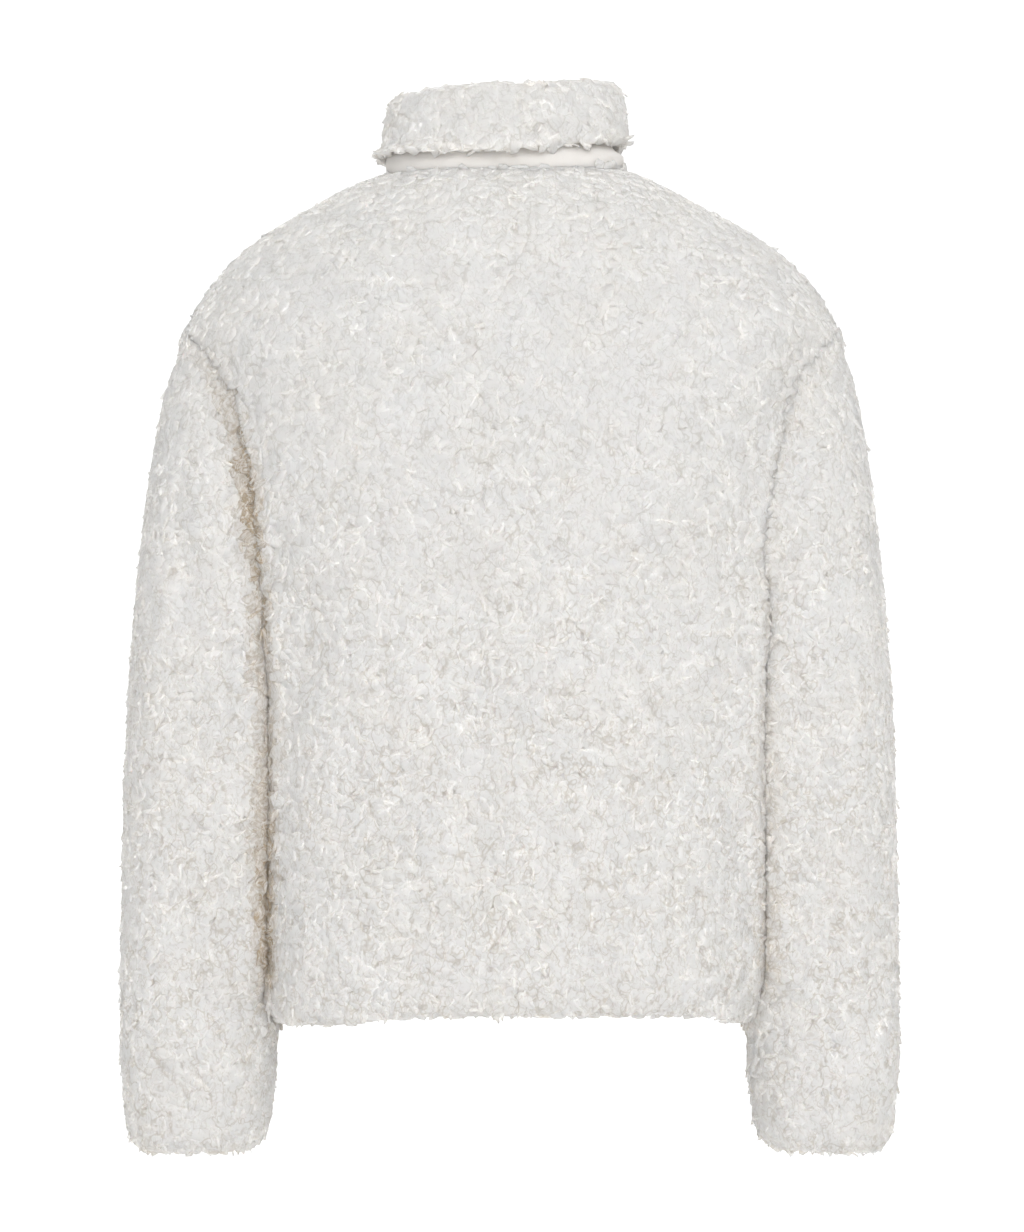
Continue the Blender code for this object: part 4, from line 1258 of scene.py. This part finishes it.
def makeStitch():
    # a short thread that dips into the tape at both its ends
    form = bmesh.new()
    sides, rings = stitchShape["sides"], []
    middle, dip = stitchShape["arch"]
    for share in stitchShape["rings"]:
        rise = stitchShape["thick"] * (middle + dip * share * share)
        wide = stitchShape["thick"] / 2 * (1.0 - stitchShape["thinner"] * share * share)
        place, turns = share * stitchShape["long"] / 2, [math.tau * k / sides for k in range(sides)]
        rings.append([
            form.verts.new((wide * math.cos(turn), place, rise + wide * math.sin(turn))) for turn in turns
        ])
    skin(form, rings)
    return keptThing(form, "stitch")


def rowTree():
    # copies of one piece, evenly spaced up a line and turned outwards
    tree, given = newTree("row_up_the_tape", {"Spacing": "Float", "Piece": "Object", "Finish": "Material"})
    line = addNode(tree, "GeometryNodeMeshToCurve", {"Mesh": given["Geometry"]})
    fed = {"Curve": line.outputs["Curve"], "Length": given["Spacing"]}
    even = addNode(tree, "GeometryNodeResampleCurve", fed, mode="LENGTH")
    tangent = addNode(tree, "GeometryNodeInputTangent").outputs["Tangent"]
    source = addNode(tree, "GeometryNodeObjectInfo", {"Object": given["Piece"]}, transform_space="ORIGINAL")
    place = addNode(tree, "GeometryNodeInstanceOnPoints", {
        "Points": even.outputs["Curve"],
        "Instance": source.outputs["Geometry"],
        "Rotation": turnedTo(tree, namedValue(tree, "out", "FLOAT_VECTOR"), tangent),
    })
    return endTree(tree, place.outputs["Instances"], given["Finish"])


row = rowTree()


def lineUp(tape, side, onBead, low):
    # places up the tape and the way out of it: on its bead's front, or on its back where it is sewn
    form = bmesh.new()
    form.from_mesh(frame["nodes"][tape].data)
    solid = bvhtree.BVHTree.FromBMesh(form)
    form.free()

    def hitFrom(x, y, z, towards):
        return solid.ray_cast(Vector((side * x, y, z)), Vector((0.0, towards, 0.0)))[:2]

    places, (farthest, step) = [], rowFacts["search"]
    for z in np.linspace(low, rowFacts["high"], rowFacts["places"]):
        if onBead:
            x = 0.0
            while x < farthest and hitFrom(x, rowFacts["inFront"], z, 1.0)[0] is None:
                x += step
            hit, normal = hitFrom(x + rowFacts["bead"] / 2, rowFacts["inFront"], z, 1.0)
        else:
            hit, normal = hitFrom(rowFacts["stitchIn"], 0.0, z, -1.0)
        if hit is not None:
            places.append((hit, Vector((0.0, normal.y, normal.z)).normalized()))
    return places


def makeRow(name, places, apart, thing, finish):
    mesh = bpy.data.meshes.new(name)
    mesh.from_pydata([p for p, _ in places], [(k, k + 1) for k in range(len(places) - 1)], [])
    out = mesh.attributes.new("out", "FLOAT_VECTOR", "POINT")
    out.data.foreach_set("vector", np.array([n for _, n in places]).ravel())
    piece = newPiece(name, mesh)
    grow(piece, row, {"Spacing": apart, "Piece": thing, "Finish": finish})
    bpy.data.objects.remove(thing)
    return piece


rounding = {
    "merge": 0.000005,
    "flat": math.radians(1.0),
    "sharp": math.radians(35.0),
    "shownSharp": math.radians(40.0),
    "segments": 2,
}


def roundedCopy(nodeName, name, bevel, finish):
    # the node's own shape with its edges taken off
    form = bmesh.new()
    form.from_mesh(frame["nodes"][nodeName].data)
    bmesh.ops.remove_doubles(form, verts=form.verts, dist=rounding["merge"])
    bmesh.ops.dissolve_limit(form, angle_limit=rounding["flat"], verts=form.verts, edges=form.edges)
    piece = newPiece(name, plainMesh(form, name))
    edges = piece.modifiers.new("edges", "BEVEL")
    edges.width, edges.segments, edges.limit_method = bevel, rounding["segments"], "ANGLE"
    edges.angle_limit = rounding["sharp"]
    settle(piece)
    piece.data.materials.clear()
    piece.data.materials.append(finish)
    piece.data.set_sharp_from_angle(angle=rounding["shownSharp"])
    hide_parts(nodeName)
    return piece


teeth, stitches, tapes = [], [], []
for sideName, side in (("left", 1.0), ("right", -1.0)):
    tapeName, low = "zip_tape_" + sideName, rowFacts["low"]
    tapes.append(roundedCopy(tapeName, tapeName + "_cloth", 0.00015, zipTape))
    later = toothShape["apart"] / 2 if side < 0.0 else 0.0  # the teeth of one side fall between the other's
    tooth, stitch = makeTooth(-side), makeStitch()
    beadLine, sewnLine = lineUp(tapeName, side, True, low + later), lineUp(tapeName, side, False, low)
    teeth.append(makeRow("zip_teeth_" + sideName, beadLine, toothShape["apart"], tooth, nickel))
    stitches.append(makeRow("zip_stitches_" + sideName, sewnLine, stitchShape["apart"], stitch, zipThread))
slider = roundedCopy("zip_slider", "zip_slider_body", 0.00035, nickel)
pull = roundedCopy("zip_pull", "zip_pull_tab", 0.00025, nickel)
endBox = roundedCopy("zip_end_box", "zip_end_box_body", 0.00030, nickel)
for part in (*teeth, *stitches, *tapes, slider, endBox):
    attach(part, "jacket")
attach(pull, "zip_pull")
print("zip ready")

# each piece of cloth and its wool go on the jacket, in place of its node
for name, piece in panels.items():
    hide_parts(name)
    for part in (piece, piles[name]):
        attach(part, "jacket")

room = {
    "floorZ": -1.30,
    "floorSize": 60.0,
    "floor": (0.92, 0.92, 0.92),
    "white": (1.0, 1.0, 1.0),
    "seen": 1.14,  # the white room behind the jacket
    "air": 0.650,  # the light that it sheds
    "glow": 0.60,  # keeps the floor as white as the room
}
softboxes = {  # the same on both sides of the jacket
    "places": {"key": (-0.6, 4.2, 2.1), "fill": (0.6, -4.2, 2.1)},
    "aim": (0.0, 0.0, -0.3),
    "size": 2.0,
    "power": 73.0,
}


def seenOnly(tree):
    return addNode(tree, "ShaderNodeLightPath").outputs["Is Camera Ray"]


def makeRoom():
    form = bmesh.new()
    bmesh.ops.create_grid(form, x_segments=1, y_segments=1, size=room["floorSize"] / 2)
    mesh = plainMesh(form, "floor", smooth=False)
    mesh.transform(Matrix.Translation((0.0, 0.0, room["floorZ"])))
    made, tree, shader = newMaterial("pale_floor")
    feed(shader, {
        "Base Color": room["floor"],
        "Roughness": 0.9,
        "Specular IOR Level": 0.0,
        "Emission Color": room["white"],
        "Emission Strength": mathNode(tree, "MULTIPLY", seenOnly(tree), room["glow"]),
    })
    mesh.materials.append(made)
    newPiece("floor", mesh)
    world = bpy.data.worlds.new("studio")
    world.use_nodes = True
    tree = world.node_tree
    light = rangeNode(tree, seenOnly(tree), 0.0, 1.0, room["air"], room["seen"])
    feed(tree.nodes["Background"], {"Color": room["white"], "Strength": light})
    scene.world = world


def addSoftbox(name, place):
    lamp = bpy.data.lights.new(name, "AREA")
    lamp.size, lamp.energy = softboxes["size"], softboxes["power"]
    thing = newPiece(name, lamp)
    thing.location = place
    thing.rotation_euler = (Vector(softboxes["aim"]) - Vector(place)).to_track_quat("-Z", "Y").to_euler()


makeRoom()
for name, place in softboxes["places"].items():
    addSoftbox(name, place)
print("room ready")

# the camera stands behind the jacket, level with its middle
cameraFacts = {"far": 3.6, "height": -0.3247, "across": 0.0, "shows": 0.887, "sensor": 36.0}

camera = newPiece("camera", bpy.data.cameras.new("camera"))
camera.location = (cameraFacts["across"], cameraFacts["far"], cameraFacts["height"])
camera.rotation_euler = (math.radians(90.0), 0.0, math.radians(180.0))
camera.data.sensor_fit = "VERTICAL"
camera.data.sensor_height = cameraFacts["sensor"]
camera.data.lens = cameraFacts["sensor"] * cameraFacts["far"] / cameraFacts["shows"]
scene.camera = camera
scene.view_settings.view_transform = "Standard"
